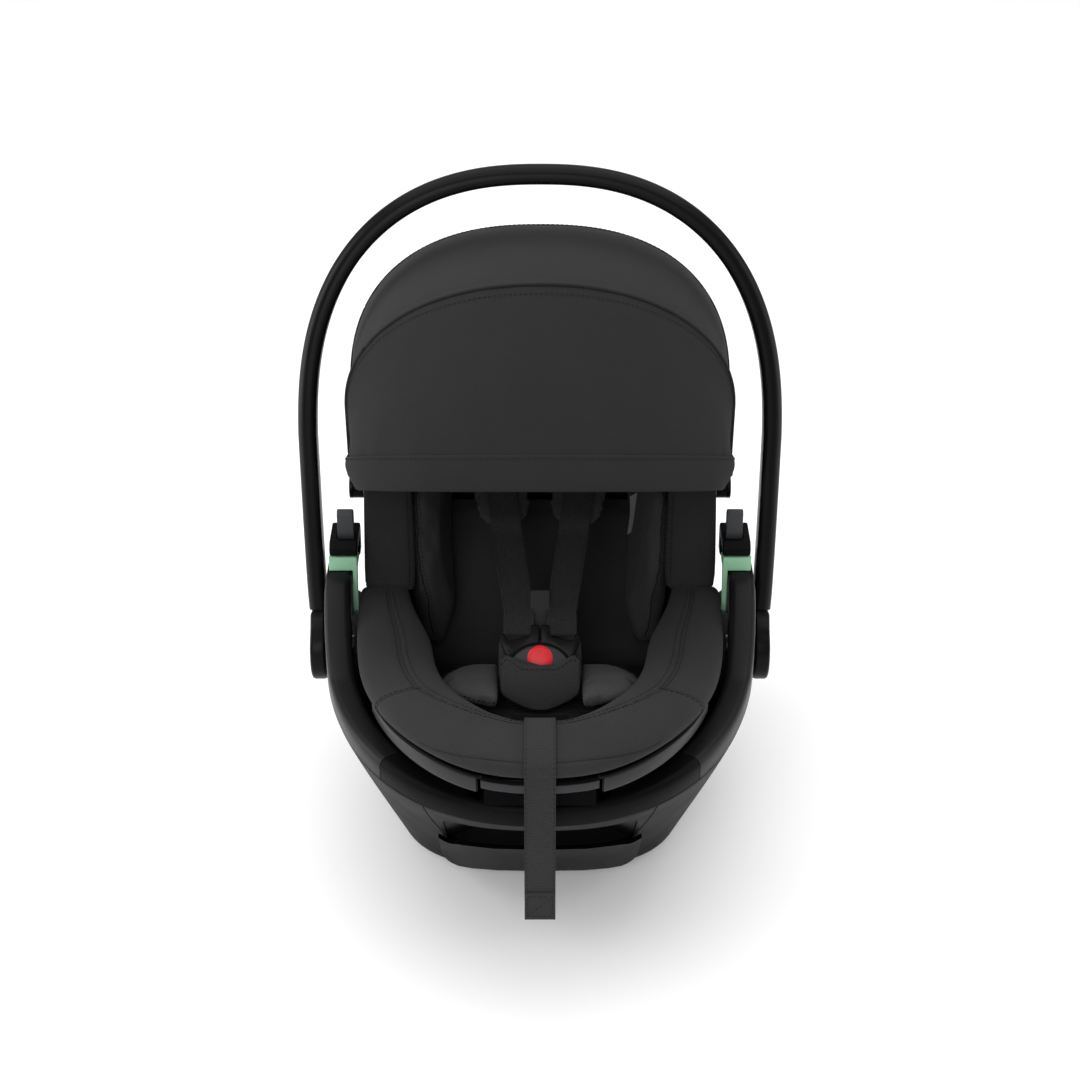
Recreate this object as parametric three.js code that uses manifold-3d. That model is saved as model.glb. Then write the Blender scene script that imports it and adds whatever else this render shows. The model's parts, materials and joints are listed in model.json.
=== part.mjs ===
// Infant car seat: a rear-facing baby carrier. A base with two side arms holds a reclining seat,
// a carry handle turns on two hubs, and a three-bow canopy folds back over the head end.
// Millimetres, +Z up. The foot end faces -Y, the head end +Y, and the origin is on the floor.

import * as THREE from 'three';
import { LoftGeometry } from 'three/addons/geometries/LoftGeometry.js';
import { mergeVertices } from 'three/addons/utils/BufferGeometryUtils.js';
import Module from 'manifold-3d';

const wasm = await Module();
wasm.setup();

// ---------------------------------------------------------------- driving dimensions

const GAP = 0.4; // clearance between pieces that touch
const TAU = Math.PI * 2;
const rad = THREE.MathUtils.degToRad;

const HUB_Z = 160; // handle axis above the floor
const RECLINE_Z = 290; // recline axis above the floor, on y = 0

const SEAT = {
  half: 157, // half width of the seat shell
  foot: 313, // reach of the foot end from the origin
  head: 298, // reach of the head end
  bottomRadius: 218, // radius of the sliding underside about the recline axis
  footTangent: rad(33),
  headTangent: rad(50),
  closeFrom: 252, // the head end's wall starts to turn up here
  closeRise: 38, // how far its inner end rises
  wall: 4,
  footPower: 2.35, // squareness of the plan at the foot end
  headPower: 3.6,
};

const BASE = {
  floor: 0,
  foot: 7, // the lowest ring is this much smaller
  halfLow: 131,
  halfHigh: 193.5,
  frontLow: 131,
  frontHigh: 298,
  rearLow: 168,
  rearHigh: 212,
  highZ: 178, // height of the front rim, at which the high sizes hold
  wall: 5,
  powerLow: 3, // squareness of the plan outline at the floor
  powerHigh: 2.3, // and at the rim
};

// Opening in the base's front wall for the fingers, and the lip in front of it.
const LIP = { half: 88, low: 6, top: 86, corner: 38, windowLow: 60, windowTop: 150, proud: 10, behind: 4 };

const RING = {
  half: 183,
  front: 288,
  power: 2.25,
  width: 24,
  topFront: 198,
  topHub: 243,
  end: 40,
  split: rad(50), // where the arms meet the front band
};

const HANDLE = {
  lean: rad(16), // carry position leans towards the head end
  straight: 200, // length of the straight sides
  half: 211, // half width to the bar's centre at the widest
  rise: 234.5, // rise of the arch over the straight sides
  hubHalf: 205,
  power: 2.4,
  side: 17, // bar thickness in the arch plane at the sides
  top: 17.5, // and at the grip
  depth: 27,
  inner: 197, // inner face of the hub cover
  outer: 211.5,
  hubRadius: 31,
  neck: 37, // height at which the hub cover meets the bar
};

const CANOPY = {
  pivotY: 68,
  pivotZ: 292,
  radius: 241,
  archDrop: 146, // height of the rounded part of the arch
  sheet: 3,
};

// ---------------------------------------------------------------- materials

const finish = (color, roughness, metalness = 0) =>
  new THREE.MeshStandardMaterial({ color, roughness, metalness });

const MATERIAL = {
  shell: finish(0x1b1b1c, 0.55),
  trim: finish(0x232425, 0.5),
  grey: finish(0x3a3d40, 0.5),
  green: finish(0x8fcca3, 0.5),
  fabric: finish(0x2c2c2c, 0.95),
  liningFabric: finish(0x161616, 0.95),
  canopyFabric: finish(0x343434, 0.9),
  webbing: finish(0x2a2a2a, 0.85),
  foam: finish(0x3c3c3c, 0.9),
  steel: finish(0x8a8c8f, 0.35, 1),
  red: finish(0xd8323c, 0.4),
};

// ---------------------------------------------------------------- helpers

const point = (x, y, z) => new THREE.Vector3(x, y, z);
const clamp = THREE.MathUtils.clamp;
const lerp = THREE.MathUtils.lerp;
const smooth = THREE.MathUtils.smoothstep;
const signedPower = (v, p) => Math.sign(v) * Math.abs(v) ** p;

// Positions and shared vertices only, as manifold-3d needs them.
function weld(geometry) {
  const bare = new THREE.BufferGeometry();
  bare.setAttribute('position', geometry.getAttribute('position').clone());
  if (geometry.index) bare.setIndex(geometry.index.clone());
  return mergeVertices(bare, 1e-3);
}

function signedVolume(geometry) {
  const p = geometry.getAttribute('position');
  const index = geometry.index.array;
  const [a, b, c] = [point(), point(), point()];
  let sum = 0;
  for (let i = 0; i < index.length; i += 3) {
    a.fromBufferAttribute(p, index[i]);
    b.fromBufferAttribute(p, index[i + 1]);
    c.fromBufferAttribute(p, index[i + 2]);
    sum += a.dot(b.cross(c));
  }
  return sum / 6;
}

// A closed body through the sections, with its faces pointing out.
function loft(sections) {
  const build = (list) => weld(new LoftGeometry(list, { capStart: true, capEnd: true }));
  const made = build(sections);
  return signedVolume(made) > 0 ? made : build(sections.map((s) => [...s].reverse()));
}

function toSolid(geometry) {
  const g = weld(geometry);
  return new wasm.Manifold(
    new wasm.Mesh({
      numProp: 3,
      vertProperties: new Float32Array(g.getAttribute('position').array),
      triVerts: new Uint32Array(g.index.array),
    }),
  );
}

function toGeometry(manifold) {
  const m = manifold.getMesh();
  const position = new Float32Array(m.numVert * 3);
  for (let i = 0; i < m.numVert; i++) {
    position.set(m.vertProperties.subarray(i * m.numProp, i * m.numProp + 3), i * 3);
  }
  return new THREE.BufferGeometry()
    .setAttribute('position', new THREE.BufferAttribute(position, 3))
    .setIndex(new THREE.BufferAttribute(new Uint32Array(m.triVerts), 1));
}

const cut = (body, ...tools) =>
  toGeometry(tools.reduce((left, tool) => left.subtract(toSolid(tool)), toSolid(body)));
const common = (body, ...others) =>
  toGeometry(others.reduce((left, other) => left.intersect(toSolid(other)), toSolid(body)));

// Box between two corners.
function box([x0, y0, z0], [x1, y1, z1]) {
  const g = new THREE.BoxGeometry(x1 - x0, y1 - y0, z1 - z0);
  return g.translate((x0 + x1) / 2, (y0 + y1) / 2, (z0 + z1) / 2);
}

// Cylinder along X between two x values.
function rodX(radius, x0, x1, y, z, sides = 28) {
  const g = new THREE.CylinderGeometry(radius, radius, x1 - x0, sides);
  return g.rotateZ(Math.PI / 2).translate((x0 + x1) / 2, y, z);
}

// Profile in the YZ plane, extruded along X, with its outer edges broken by a bevel.
function slabX(profile, x0, x1, bevel = 0) {
  const shape = new THREE.Shape(profile.map(([y, z]) => new THREE.Vector2(y, z)));
  const g = new THREE.ExtrudeGeometry(shape, {
    depth: x1 - x0 - 2 * bevel,
    bevelEnabled: bevel > 0,
    bevelThickness: bevel,
    bevelSize: bevel,
    bevelOffset: -bevel,
    bevelSegments: 2,
  });
  // The shape's x, y and depth become y, z and x.
  g.applyMatrix4(new THREE.Matrix4().set(0, 0, 1, x0 + bevel, 1, 0, 0, 0, 0, 1, 0, 0, 0, 0, 0, 1));
  return g;
}

// Rounded section of half sizes u and v, as count pairs.
function roundSection(u, v, power, count) {
  return Array.from({ length: count }, (_, i) => {
    const a = (i / count) * TAU;
    return [u * signedPower(Math.cos(a), 2 / power), v * signedPower(Math.sin(a), 2 / power)];
  });
}

// Body swept along points. side(i) is the section's first axis, and section(i) its pairs.
function sweep(path, side, section) {
  const rings = path.map((p, i) => {
    const before = path[Math.max(0, i - 1)];
    const after = path[Math.min(path.length - 1, i + 1)];
    const along = after.clone().sub(before).normalize();
    const first = side(i).clone();
    first.addScaledVector(along, -first.dot(along)).normalize();
    const second = along.clone().cross(first);
    return section(i).map(([u, v]) => p.clone().addScaledVector(first, u).addScaledVector(second, v));
  });
  return loft(rings);
}

const whole = new THREE.Group();
function add(name, geometry, material, parent = whole) {
  const mesh = new THREE.Mesh(geometry, material);
  mesh.name = name;
  parent.add(mesh);
  return mesh;
}

// The left piece stands at negative x, and the right one is its mirror image.
function addPair(name, leftGeometry, material, parent = whole) {
  add(`${name}_left`, leftGeometry, material, parent);
  add(`${name}_right`, leftGeometry, material, parent).scale.x = -1;
}

// ---------------------------------------------------------------- base

// Plan outline of the base at a height, for a direction from the origin.
function basePoint(angle, z, inset = 0) {
  const t = clamp(z / BASE.highZ, 0, 1);
  const p = 2 / lerp(BASE.powerLow, BASE.powerHigh, t);
  const half = lerp(BASE.halfLow, BASE.halfHigh, t ** 0.9) - inset;
  const s = Math.sin(angle);
  const front = lerp(BASE.frontLow, BASE.frontHigh, t ** 1.2);
  const reach = s < 0 ? front : lerp(BASE.rearLow, BASE.rearHigh, t);
  return point(half * signedPower(Math.cos(angle), p), (reach - inset) * signedPower(s, p), z);
}

// Height of the base's upper edge: low in front, a tower at the hubs, lowest behind.
function baseRim(y) {
  const tower = smooth(y, -105, -35) * (200 - BASE.highZ);
  const behind = smooth(y, 42, 165) * (200 - 99);
  return BASE.highZ + tower - behind;
}

// Level rings of the base's outline, up to a flat top above the towers.
function baseBody(inset, heights) {
  const count = 44;
  const ring = (z, extra) =>
    Array.from({ length: count }, (_, i) => basePoint((i / count) * TAU, z, inset + extra));
  return loft(heights.map((z, i) => ring(z, i === 0 ? BASE.foot : 0)));
}

// Everything above the base's upper edge, or everything below it.
function rimCutter(above, lift = 0) {
  const ys = [-330, -105, -93, -82, -70, -58, -47, -35, 42, 60, 78, 96, 114, 132, 150, 165, 240];
  const edge = ys.map((y) => [y, baseRim(y) + lift]);
  const far = above ? 320 : -20;
  return slabX([[-330, far], ...edge, [240, far]], -250, 250);
}

// The lip from the front: round lower corners, and an ear and a notch at each end of the top edge.
function lipShape() {
  const { half, low, top, corner } = LIP;
  const ear = [[0, 8], [2, 4], [5, -1], [8.5, -4], [12, -4], [15, -1.5], [18, 0]];
  const shape = new THREE.Shape();
  shape.moveTo(-half + corner, low);
  shape.lineTo(half - corner, low);
  shape.quadraticCurveTo(half, low, half, low + corner);
  for (const [x, z] of ear) shape.lineTo(half - x, top + z);
  for (const [x, z] of [...ear].reverse()) shape.lineTo(-half + x, top + z);
  shape.lineTo(-half, low + corner);
  shape.quadraticCurveTo(-half, low, -half + corner, low);
  return shape;
}

function addBase() {
  const heights = (floor) => [floor, floor + 6, 48, 90, 134, BASE.highZ, 215];
  const boss = rodX(30, -193, 193, 0, HUB_Z, 32);
  const filled = toGeometry(toSolid(baseBody(0, heights(BASE.floor))).add(toSolid(boss)));
  const hollow = baseBody(BASE.wall, heights(BASE.floor + 5));
  const round = new THREE.CylinderGeometry(62, 62, 40, 32).rotateX(Math.PI / 2).translate(0, 0, 10);
  const bar = box([-70, -12, -20], [70, 12, 40]);
  const dockHole = cut(round, bar); // leaves a bar across the middle of the floor's round hole
  const hubHoles = rodX(6.5, -230, 230, 0, HUB_Z);
  const shell = cut(filled, hollow, dockHole, hubHoles, rimCutter(true));

  const window = box([-LIP.half + 6, -400, LIP.windowLow], [LIP.half - 6, -110, LIP.windowTop]);
  add('base_shell', cut(shell, window), MATERIAL.shell);

  // The lip stands proud of the shell below the opening.
  const proud = baseBody(-LIP.proud, heights(LIP.low));
  const clear = baseBody(-LIP.behind, heights(BASE.floor));
  const throughWall = { depth: 310, bevelEnabled: false, curveSegments: 6 };
  const lipSlab = new THREE.ExtrudeGeometry(lipShape(), throughWall);
  lipSlab.rotateX(Math.PI / 2).translate(0, -90, 0);
  add('front_lip_panel', common(cut(proud, clear), lipSlab), MATERIAL.trim);

  // A tray behind the opening, for the fingers that lift the foot end.
  const inside = baseBody(BASE.wall + 0.6, heights(BASE.floor + 5));
  const trayWall = [[-170, 42], [-128, 42], [-192, 133], [-250, 153], [-300, 153], [-300, 42]];
  const tray = cut(
    slabX(trayWall, -79, 79),
    slabX([[-320, 45.5], [-136, 45.5], [-196, 130.5], [-252, 149.5], [-320, 149.5]], -75.5, 75.5),
  );
  add('grip_pocket', common(tray, inside), MATERIAL.shell);

  // Steel ring that a car base or a pushchair clamps, over the floor's round hole.
  const dockProfile = [[52, 5.4], [61, 5.4], [61, 11.6], [70, 11.6], [70, 15], [52, 15], [52, 5.4]];
  const dock = new THREE.LatheGeometry(dockProfile.map(([r, z]) => new THREE.Vector2(r, z)), 36);
  add('dock_ring', dock.rotateX(Math.PI / 2), MATERIAL.steel);

  // Toothed arc that the recline latch drops into, standing on the ring.
  const teeth = [];
  const steps = 12;
  for (let i = 0; i <= steps; i++) {
    const a = lerp(rad(-28), rad(22), i / steps);
    const r = i % 2 ? 224 : 229;
    teeth.push([r * Math.sin(a), RECLINE_Z - r * Math.cos(a)]);
  }
  const rack = slabX([[-100, 15.6], ...teeth, [82, 15.6]], -14, 14);
  add('recline_rack', rack, MATERIAL.trim);
}

// ---------------------------------------------------------------- ring of side arms and front band

// One section of the ring at a point of its centre line, with the outward direction there.
function ringSection(x, y, outward) {
  const low = BASE.highZ - 8;
  const high = RING.topFront + (RING.topHub - RING.topFront) * smooth(y, -118, -6);
  const w = RING.width / 2;
  const r = 7; // edge rounding
  const pairs = [
    [-w, low], [w, low], [w, high - r], [w - 2, high - 2], [w - r, high],
    [-w + r, high], [-w + 2, high - 2], [-w, high - r],
  ];
  return pairs.map(([u, z]) => point(x, y, z).addScaledVector(outward, u));
}

function ringCurve(angle) {
  const p = 2 / RING.power;
  const c = Math.cos(angle);
  const s = Math.sin(angle);
  const x = RING.half * signedPower(c, p);
  const y = -RING.front * signedPower(s, p);
  const outward = point(signedPower(c, 2 - p) / RING.half, -signedPower(s, 2 - p) / RING.front, 0);
  return ringSection(x, y, outward.normalize());
}

function addRing() {
  const between = (a0, a1, count) =>
    Array.from({ length: count }, (_, i) => ringCurve(lerp(a0, a1, i / (count - 1))));
  const joint = rad(0.12); // leaves the parting line between an arm and the band
  const left = [
    ...between(Math.PI - RING.split + joint, Math.PI - rad(6), 12),
    // the arm rises to a flat horn above the hub tower
    ...[-26, -14, -5, RING.end].map((y) => ringSection(-RING.half, y, point(-1, 0, 0))),
  ];
  const below = rimCutter(false, GAP);
  addPair('side_arm', cut(loft(left), below), MATERIAL.trim);
  const band = loft(between(RING.split + joint, Math.PI - RING.split - joint, 19));
  add('front_band', cut(band, below), MATERIAL.trim);
}

// ---------------------------------------------------------------- belt guides and release levers

function addGuides() {
  const top = RING.topHub + GAP;
  // Green channel on top of the arm: a floor, a front wall and a tail down the arm's inner face.
  const inner = -166.5;
  const channelProfile = [[-4, top], [23, top], [23, top + 4], [0, top + 4], [0, top + 14], [-4, top + 14]];
  const channel = slabX(channelProfile, -192, inner);
  const tailProfile = [[-4, top + 4], [6, top + 4], [2, top - 12], [-6, top - 45], [-11, top - 38]];
  const tail = slabX(tailProfile, inner - 3.9, inner);
  const guide = toGeometry(toSolid(channel).add(toSolid(tail)));
  addPair('belt_guide', guide, MATERIAL.green);

  // Hook over the channel: the belt slides in between them.
  const hookProfile = [
    [23.6, top], [39, top], [39, 268], [35, 272], [1, 272],
    [-5, 267], [-5, 259.5], [1, 259.5], [1, 262], [23.6, 262],
  ];
  const leverSlot = box([-184.5, 6, 255], [-168.5, 19, 300]);
  const hook = cut(slabX(hookProfile, -191, -165.5), leverSlot);
  addPair('belt_hook', hook, MATERIAL.shell);

  // Pull-up lever that frees the seat from a pushchair.
  const lever = slabX([[8, 262.4], [17, 262.4], [17, 295], [14, 298], [11, 298], [8, 295]], -184, -169);
  addPair('release_lever', lever, MATERIAL.grey);
}

// ---------------------------------------------------------------- handle

function handlePath(count) {
  const arch = Array.from({ length: count }, (_, i) => {
    const a = lerp(Math.PI, 0, i / (count - 1));
    const p = 2 / HANDLE.power;
    const x = HANDLE.half * signedPower(Math.cos(a), p);
    return point(x, 0, HANDLE.straight + HANDLE.rise * signedPower(Math.sin(a), p));
  });
  const end = point(HANDLE.hubHalf, 0, HANDLE.neck + GAP);
  const middle = point(lerp(HANDLE.hubHalf, HANDLE.half, 0.55), 0, 125);
  const flip = (v) => point(-v.x, v.y, v.z);
  return [flip(end), flip(middle), ...arch, middle, end];
}

function addHandle() {
  const handle = new THREE.Group();
  handle.position.set(0, 0, HUB_Z);
  handle.rotation.x = -HANDLE.lean;
  whole.add(handle);

  const path = handlePath(25);
  const section = (i) => {
    const grip = smooth(path[i].z, HANDLE.straight, HANDLE.straight + HANDLE.rise);
    return roundSection(HANDLE.depth / 2, lerp(HANDLE.side, HANDLE.top, grip) / 2, 3.2, 14);
  };
  add('handle_bar', sweep(path, () => point(0, 1, 0), section), MATERIAL.shell, handle);

  // Hub cover: a disc with a stub that meets the bar.
  const radius = HANDLE.hubRadius;
  const neck = rad(40);
  const shape = new THREE.Shape();
  shape.moveTo(-17, HANDLE.neck);
  shape.lineTo(-radius * Math.cos(neck), radius * Math.sin(neck));
  shape.absarc(0, 0, radius, Math.PI - neck, TAU + neck, false);
  shape.lineTo(17, HANDLE.neck);
  const outline = shape.getPoints(12).map((p) => [p.x, p.y]);
  const cover = slabX(outline, -HANDLE.outer, -HANDLE.inner, 3);
  const pocket = rodX(15.4, -220, -204.5, 0, 0);
  const bore = rodX(6.5, -230, -190, 0, 0);
  addPair('handle_hub', cut(cover, pocket, bore), MATERIAL.shell, handle);

  // Press buttons that free the handle.
  const button = rodX(15, -213, -207.5, 0, 0, 26);
  addPair('handle_button', button, MATERIAL.grey, handle);

  // Fixed detent discs between the base and the handle, with a tooth every 30 degrees.
  const disc = new THREE.Shape();
  const teeth = 12;
  for (let i = 0; i < teeth * 4; i++) {
    const a = (i / (teeth * 4)) * TAU;
    const r = i % 4 < 2 ? 29 : 26;
    disc[i ? 'lineTo' : 'moveTo'](r * Math.cos(a), r * Math.sin(a));
  }
  const discPoints = disc.getPoints().map((p) => [p.x, p.y + HUB_Z]);
  const discBody = cut(slabX(discPoints, -196.6, -193.9), rodX(6.5, -230, -170, 0, HUB_Z));
  addPair('detent_disc', discBody, MATERIAL.steel);

  const boltProfile = [[0, 173], [10, 173], [10, 176], [6, 176], [6, 203.6], [0, 203.6]];
  const bolt = new THREE.LatheGeometry(boltProfile.map(([r, h]) => new THREE.Vector2(r, h)), 20);
  addPair('pivot_bolt', bolt.rotateZ(Math.PI / 2).translate(0, 0, HUB_Z), MATERIAL.steel);
}

// ---------------------------------------------------------------- seat shell and liner

// Height of the seat's upper edge: level round the foot end, steep behind the hubs.
function seatRim(y) {
  const footRise = smooth(-y, 90, 300) * 30;
  const shoulder = smooth(y, 14, 64) * 96;
  const head = clamp((y - 64) / (SEAT.head - 64), 0, 1) * 42;
  return 204 + footRise + shoulder + head;
}

// Side profile of the seat's underside: an arc about the recline axis, a tangent at each end,
// and a round closing wall at the head tip.
function seatBottom(y) {
  const tangent = y < 0 ? SEAT.footTangent : SEAT.headTangent;
  const r = SEAT.bottomRadius;
  const d = Math.abs(y);
  if (d < r * Math.sin(tangent)) return RECLINE_Z - Math.sqrt(r * r - d * d);
  const closing = Math.max(0, y - SEAT.closeFrom) / (SEAT.head - SEAT.closeFrom - 6);
  return RECLINE_Z - (r - d * Math.sin(tangent)) / Math.cos(tangent) + SEAT.closeRise * closing ** 2;
}

// Half width of the seat in plan.
function seatHalf(y) {
  const reach = y < 0 ? SEAT.foot : SEAT.head;
  const power = y < 0 ? SEAT.footPower : SEAT.headPower;
  return SEAT.half * (1 - clamp(Math.abs(y) / reach, 0, 1) ** power) ** (1 / power);
}

// Half a superellipse from the left rim down and up to the right rim.
function uRun(y, half, bottom, rim, count) {
  const power = 2 / 3;
  return Array.from({ length: count }, (_, i) => {
    const a = Math.PI - (i / (count - 1)) * Math.PI;
    const x = half * signedPower(Math.cos(a), power);
    return point(x, y, rim - (rim - bottom) * signedPower(Math.sin(a), power));
  });
}

// Open trough that follows the seat's shape, between two insets from the outer surface.
function trough(outset, inset, lift, stations, count) {
  return loft(
    stations.map((y) => {
      const rim = seatRim(y) - lift;
      const slope = y < 0 ? 1.1 : 1.35;
      const bottom = (d) => Math.min(seatBottom(y) + d * slope, rim - 0.5);
      const half = (d) => Math.max(seatHalf(y) - d, 2);
      const outer = uRun(y, half(outset), bottom(outset), rim, count);
      const inner = uRun(y, half(inset), Math.max(bottom(inset), bottom(outset) + 0.2), rim, count);
      return [...outer, ...inner.reverse()];
    }),
  );
}

const SHELL_STATIONS = [
  -307, -298, -280, -250, -210, -170, -120, -70, -20, 14, 26, 34, 44, 54, 66, 100, 140, 190, 235, 258, 272,
  282, 288, 292,
];

const LINER_STATIONS = SHELL_STATIONS.filter((y) => y > -290 && y < 275);

function addSeat() {
  add('seat_shell', trough(0, SEAT.wall, 0, SHELL_STATIONS, 17), MATERIAL.shell);
  add('seat_liner', trough(SEAT.wall + 2.2, SEAT.wall + 10, 3, LINER_STATIONS, 17), MATERIAL.foam);
}

// ---------------------------------------------------------------- trim and lever at the foot end

// Outline of the seat at the foot end: the point, and the outward direction there.
function footOutline(angle) {
  const p = 2 / SEAT.footPower;
  const c = Math.cos(angle);
  const s = Math.sin(angle);
  const outward = point(signedPower(c, 2 - p) / SEAT.half, -signedPower(s, 2 - p) / SEAT.foot, 0);
  outward.normalize();
  return [point(SEAT.half * signedPower(c, p), -SEAT.foot * signedPower(s, p), 0), outward];
}

// Band on the outside of the seat's rim, between two heights below the rim.
function rimBand(inner, outer, low, high, from, to, count) {
  return loft(
    Array.from({ length: count }, (_, i) => {
      const [at, outward] = footOutline(lerp(from, to, i / (count - 1)));
      const rim = seatRim(at.y);
      const place = (u, v) => point(at.x, at.y, rim - v).addScaledVector(outward, u);
      const face = [place(outer - 1, low), place(outer, high + 3), place(outer, high)];
      return [place(inner, low), ...face, place(inner, high)];
    }),
  );
}

function addFootTrim() {
  const clearance = trough(-0.5, 60, -1, [-312, ...SHELL_STATIONS.slice(0, 8)], 17);
  const leverGap = box([-49, -400, 190], [49, -290, 260]);
  const strip = rimBand(0.4, 4, 9.5, 0.6, rad(91), Math.PI - rad(30), 17);
  addPair('front_trim', cut(strip, clearance, leverGap), MATERIAL.grey);

  const leverBox = box([-47, -400, 190], [47, -290, 260]);
  const plate = common(rimBand(0.4, 5.4, 9, 0.6, rad(55), rad(125), 15), leverBox);
  add('recline_lever', cut(plate, clearance), MATERIAL.grey);

  // Block between the lever and the front band, which houses the latch.
  const shellRoom = trough(-0.8, 130, -1, SHELL_STATIONS.slice(0, 8), 17);
  const block = cut(box([-45, -300, 201], [45, -256, 226]), shellRoom);
  add('latch_housing', block, MATERIAL.shell);
}

// ---------------------------------------------------------------- soft goods on the rim

// Foot bolster: half widths at the hubs, the sides and in front, heights, overhang past the outline.
const BOLSTER = { hub: 22, side: 33, front: 33, low: 17, crown: 25, overhang: 8, power: 2.4 };

// Padded ring round the foot end, from one hub to the other.
function addFootBolster() {
  const section = (at, outward, size) => {
    const front = smooth(-at.y, 60, 280);
    const atSide = lerp(BOLSTER.hub, BOLSTER.side, smooth(-at.y, -20, 100));
    const half = lerp(atSide, BOLSTER.front, front);
    const height = lerp(BOLSTER.low, BOLSTER.crown, front) * size;
    const middle = BOLSTER.overhang - half;
    return roundSection((half * (1 + size)) / 2, height / 2, BOLSTER.power, 16).map(([u, v]) =>
      point(at.x, at.y, seatRim(at.y) + 0.8 + height / 2 + v).addScaledVector(outward, middle + u),
    );
  };
  const ends = [[13, 0.35], [9, 0.75], [2, 0.93]];
  const side = (sign) => ([y, size]) => section(point(sign * SEAT.half, y, 0), point(sign, 0, 0), size);
  const count = 27;
  const round = Array.from({ length: count }, (_, i) => {
    const [at, outward] = footOutline(lerp(rad(2), Math.PI - rad(2), i / (count - 1)));
    return section(at, outward, 1);
  });
  const body = loft([...ends.map(side(1)), ...round, ...[...ends].reverse().map(side(-1))]);
  add('foot_bolster', body, MATERIAL.fabric);
}

// Thick soft edge over the shell's rim round the head end.
function addHeadBolster() {
  const centre = 13.5; // its middle lies this far inside the seat's outline
  const half = SEAT.half - centre;
  const reach = SEAT.head - centre;
  const start = 34; // where the plan starts to turn
  const count = 19;
  const plan = [];
  for (const y of [26, 31, 37, 44, 52, 60]) plan.push(point(-half, y, 0));
  for (let i = 1; i < count - 1; i++) {
    const a = lerp(Math.PI, 0, i / (count - 1));
    const p = 2 / SEAT.headPower;
    const y = 64 + (reach - 64) * signedPower(Math.sin(a), p);
    if (y > 66) plan.push(point(half * signedPower(Math.cos(a), p), y, 0));
  }
  for (const y of [60, 52, 44, 37, 31, 26]) plan.push(point(half, y, 0));
  // lift the middle off the rim at right angles to the rim's slope
  const thick = 7.5;
  const path = plan.map((at) => {
    const slope = Math.abs(at.x) > half - 0.1 ? (seatRim(at.y + 1) - seatRim(at.y - 1)) / 2 : 0.18;
    const length = Math.hypot(1, slope);
    const off = thick + 1.6;
    return point(at.x, at.y - (off * slope) / length, seatRim(at.y) + off / length);
  });
  const outward = (i) => {
    const y = Math.max(0, plan[i].y - start) / (reach - start);
    return point((plan[i].x / half) * (1 - y ** 6), y ** 6, 0).normalize();
  };
  const tip = (i) => (Math.min(i, plan.length - 1 - i) === 0 ? 0.6 : 1);
  const section = (i) => roundSection(18.5 * tip(i), thick * tip(i), 2.8, 12);
  add('head_bolster', sweep(path, outward, section), MATERIAL.fabric);
}

// ---------------------------------------------------------------- cushions

// Slab that fills the liner's hollow up to a level, with a crowned top.
function hollowFill(stations, top, crown) {
  const count = 13;
  return loft(
    stations.map((y) => {
      const inset = SEAT.wall + 11.5;
      const half = seatHalf(y) - inset;
      const rim = seatRim(y) - 3;
      const bottom = seatBottom(y) + inset * (y < 0 ? 1.1 : 1.35) + 0.6;
      const level = Math.min(Math.max(top(y), bottom + 4), rim - 2);
      const depth = (rim - level) / (rim - bottom);
      const reach = half * (1 - depth ** 3) ** (1 / 3) * 0.985;
      const under = Array.from({ length: count }, (_, i) => {
        const x = reach * lerp(-1, 1, i / (count - 1));
        const share = (1 - Math.abs(x / half) ** 3) ** (1 / 3);
        return point(x, y, rim - (rim - bottom) * share);
      });
      const over = under.map((v) => {
        const across = v.x / reach;
        return point(v.x, y, level + 0.5 + crown * (1 - across * across));
      });
      return [...under, ...over.reverse()];
    }),
  );
}

function addPads() {
  const seatTop = (y) => 132 + smooth(-y, 10, 150) * 34;
  const wall = trough(-1, SEAT.wall + 10.5, -1, LINER_STATIONS, 17);
  add('seat_pad', cut(hollowFill([-168, -140, -100, -60, -20, 18], seatTop, 3), wall), MATERIAL.fabric);

  const backTop = (y) => 124 + (y - 22) * 0.74;
  const back = hollowFill([22, 50, 80, 110, 140, 167], backTop, 2);
  add('back_pad', cut(back, wall), MATERIAL.liningFabric);

  // Butterfly-shaped cushions beside the crotch pad.
  const thigh = new THREE.Shape();
  thigh.moveTo(-37, -60);
  thigh.bezierCurveTo(-58, -52, -82, -62, -90, -92);
  thigh.bezierCurveTo(-88, -114, -66, -130, -36, -133);
  thigh.lineTo(-37, -60);
  const thighPad = new THREE.ExtrudeGeometry(thigh, { depth: 14, bevelEnabled: false, curveSegments: 8 });
  thighPad.translate(0, 96, 0).rotateX(rad(-9)).translate(0, -96, 168);
  addPair('thigh_pad', thighPad, MATERIAL.fabric);

  // Side wings that hold the baby, on both inner walls of the head end. They lean outwards.
  const wingProfile = [
    [20, 144], [34, 142], [74, 170], [160, 234], [206, 268],
    [196, 312], [150, 316], [60, 300], [44, 288], [21, 226],
  ];
  const wing = slabX(wingProfile, -20, 0);
  const [flare, lean] = [0.085, -0.075];
  const inner = -86.5 - flare * 100 - lean * 153;
  wing.applyMatrix4(new THREE.Matrix4().set(1, flare, lean, inner, 0, 1, 0, 0, 0, 0, 1, 0, 0, 0, 0, 1));
  addPair('side_wing', wing, MATERIAL.fabric);
}

// ---------------------------------------------------------------- harness

const BUCKLE = { y: -78, z: 196, tilt: rad(38) }; // centre, and lean of its face from vertical

// Shape in the buckle's face, extruded to the back from a depth.
function buckleSlab(pairs, front, thickness) {
  const shape = new THREE.Shape(pairs.map(([x, z]) => new THREE.Vector2(x, z)));
  const slab = new THREE.ExtrudeGeometry(shape, { depth: thickness, bevelEnabled: false });
  return slab.rotateX(Math.PI / 2).translate(0, front + thickness, 0);
}

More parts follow.
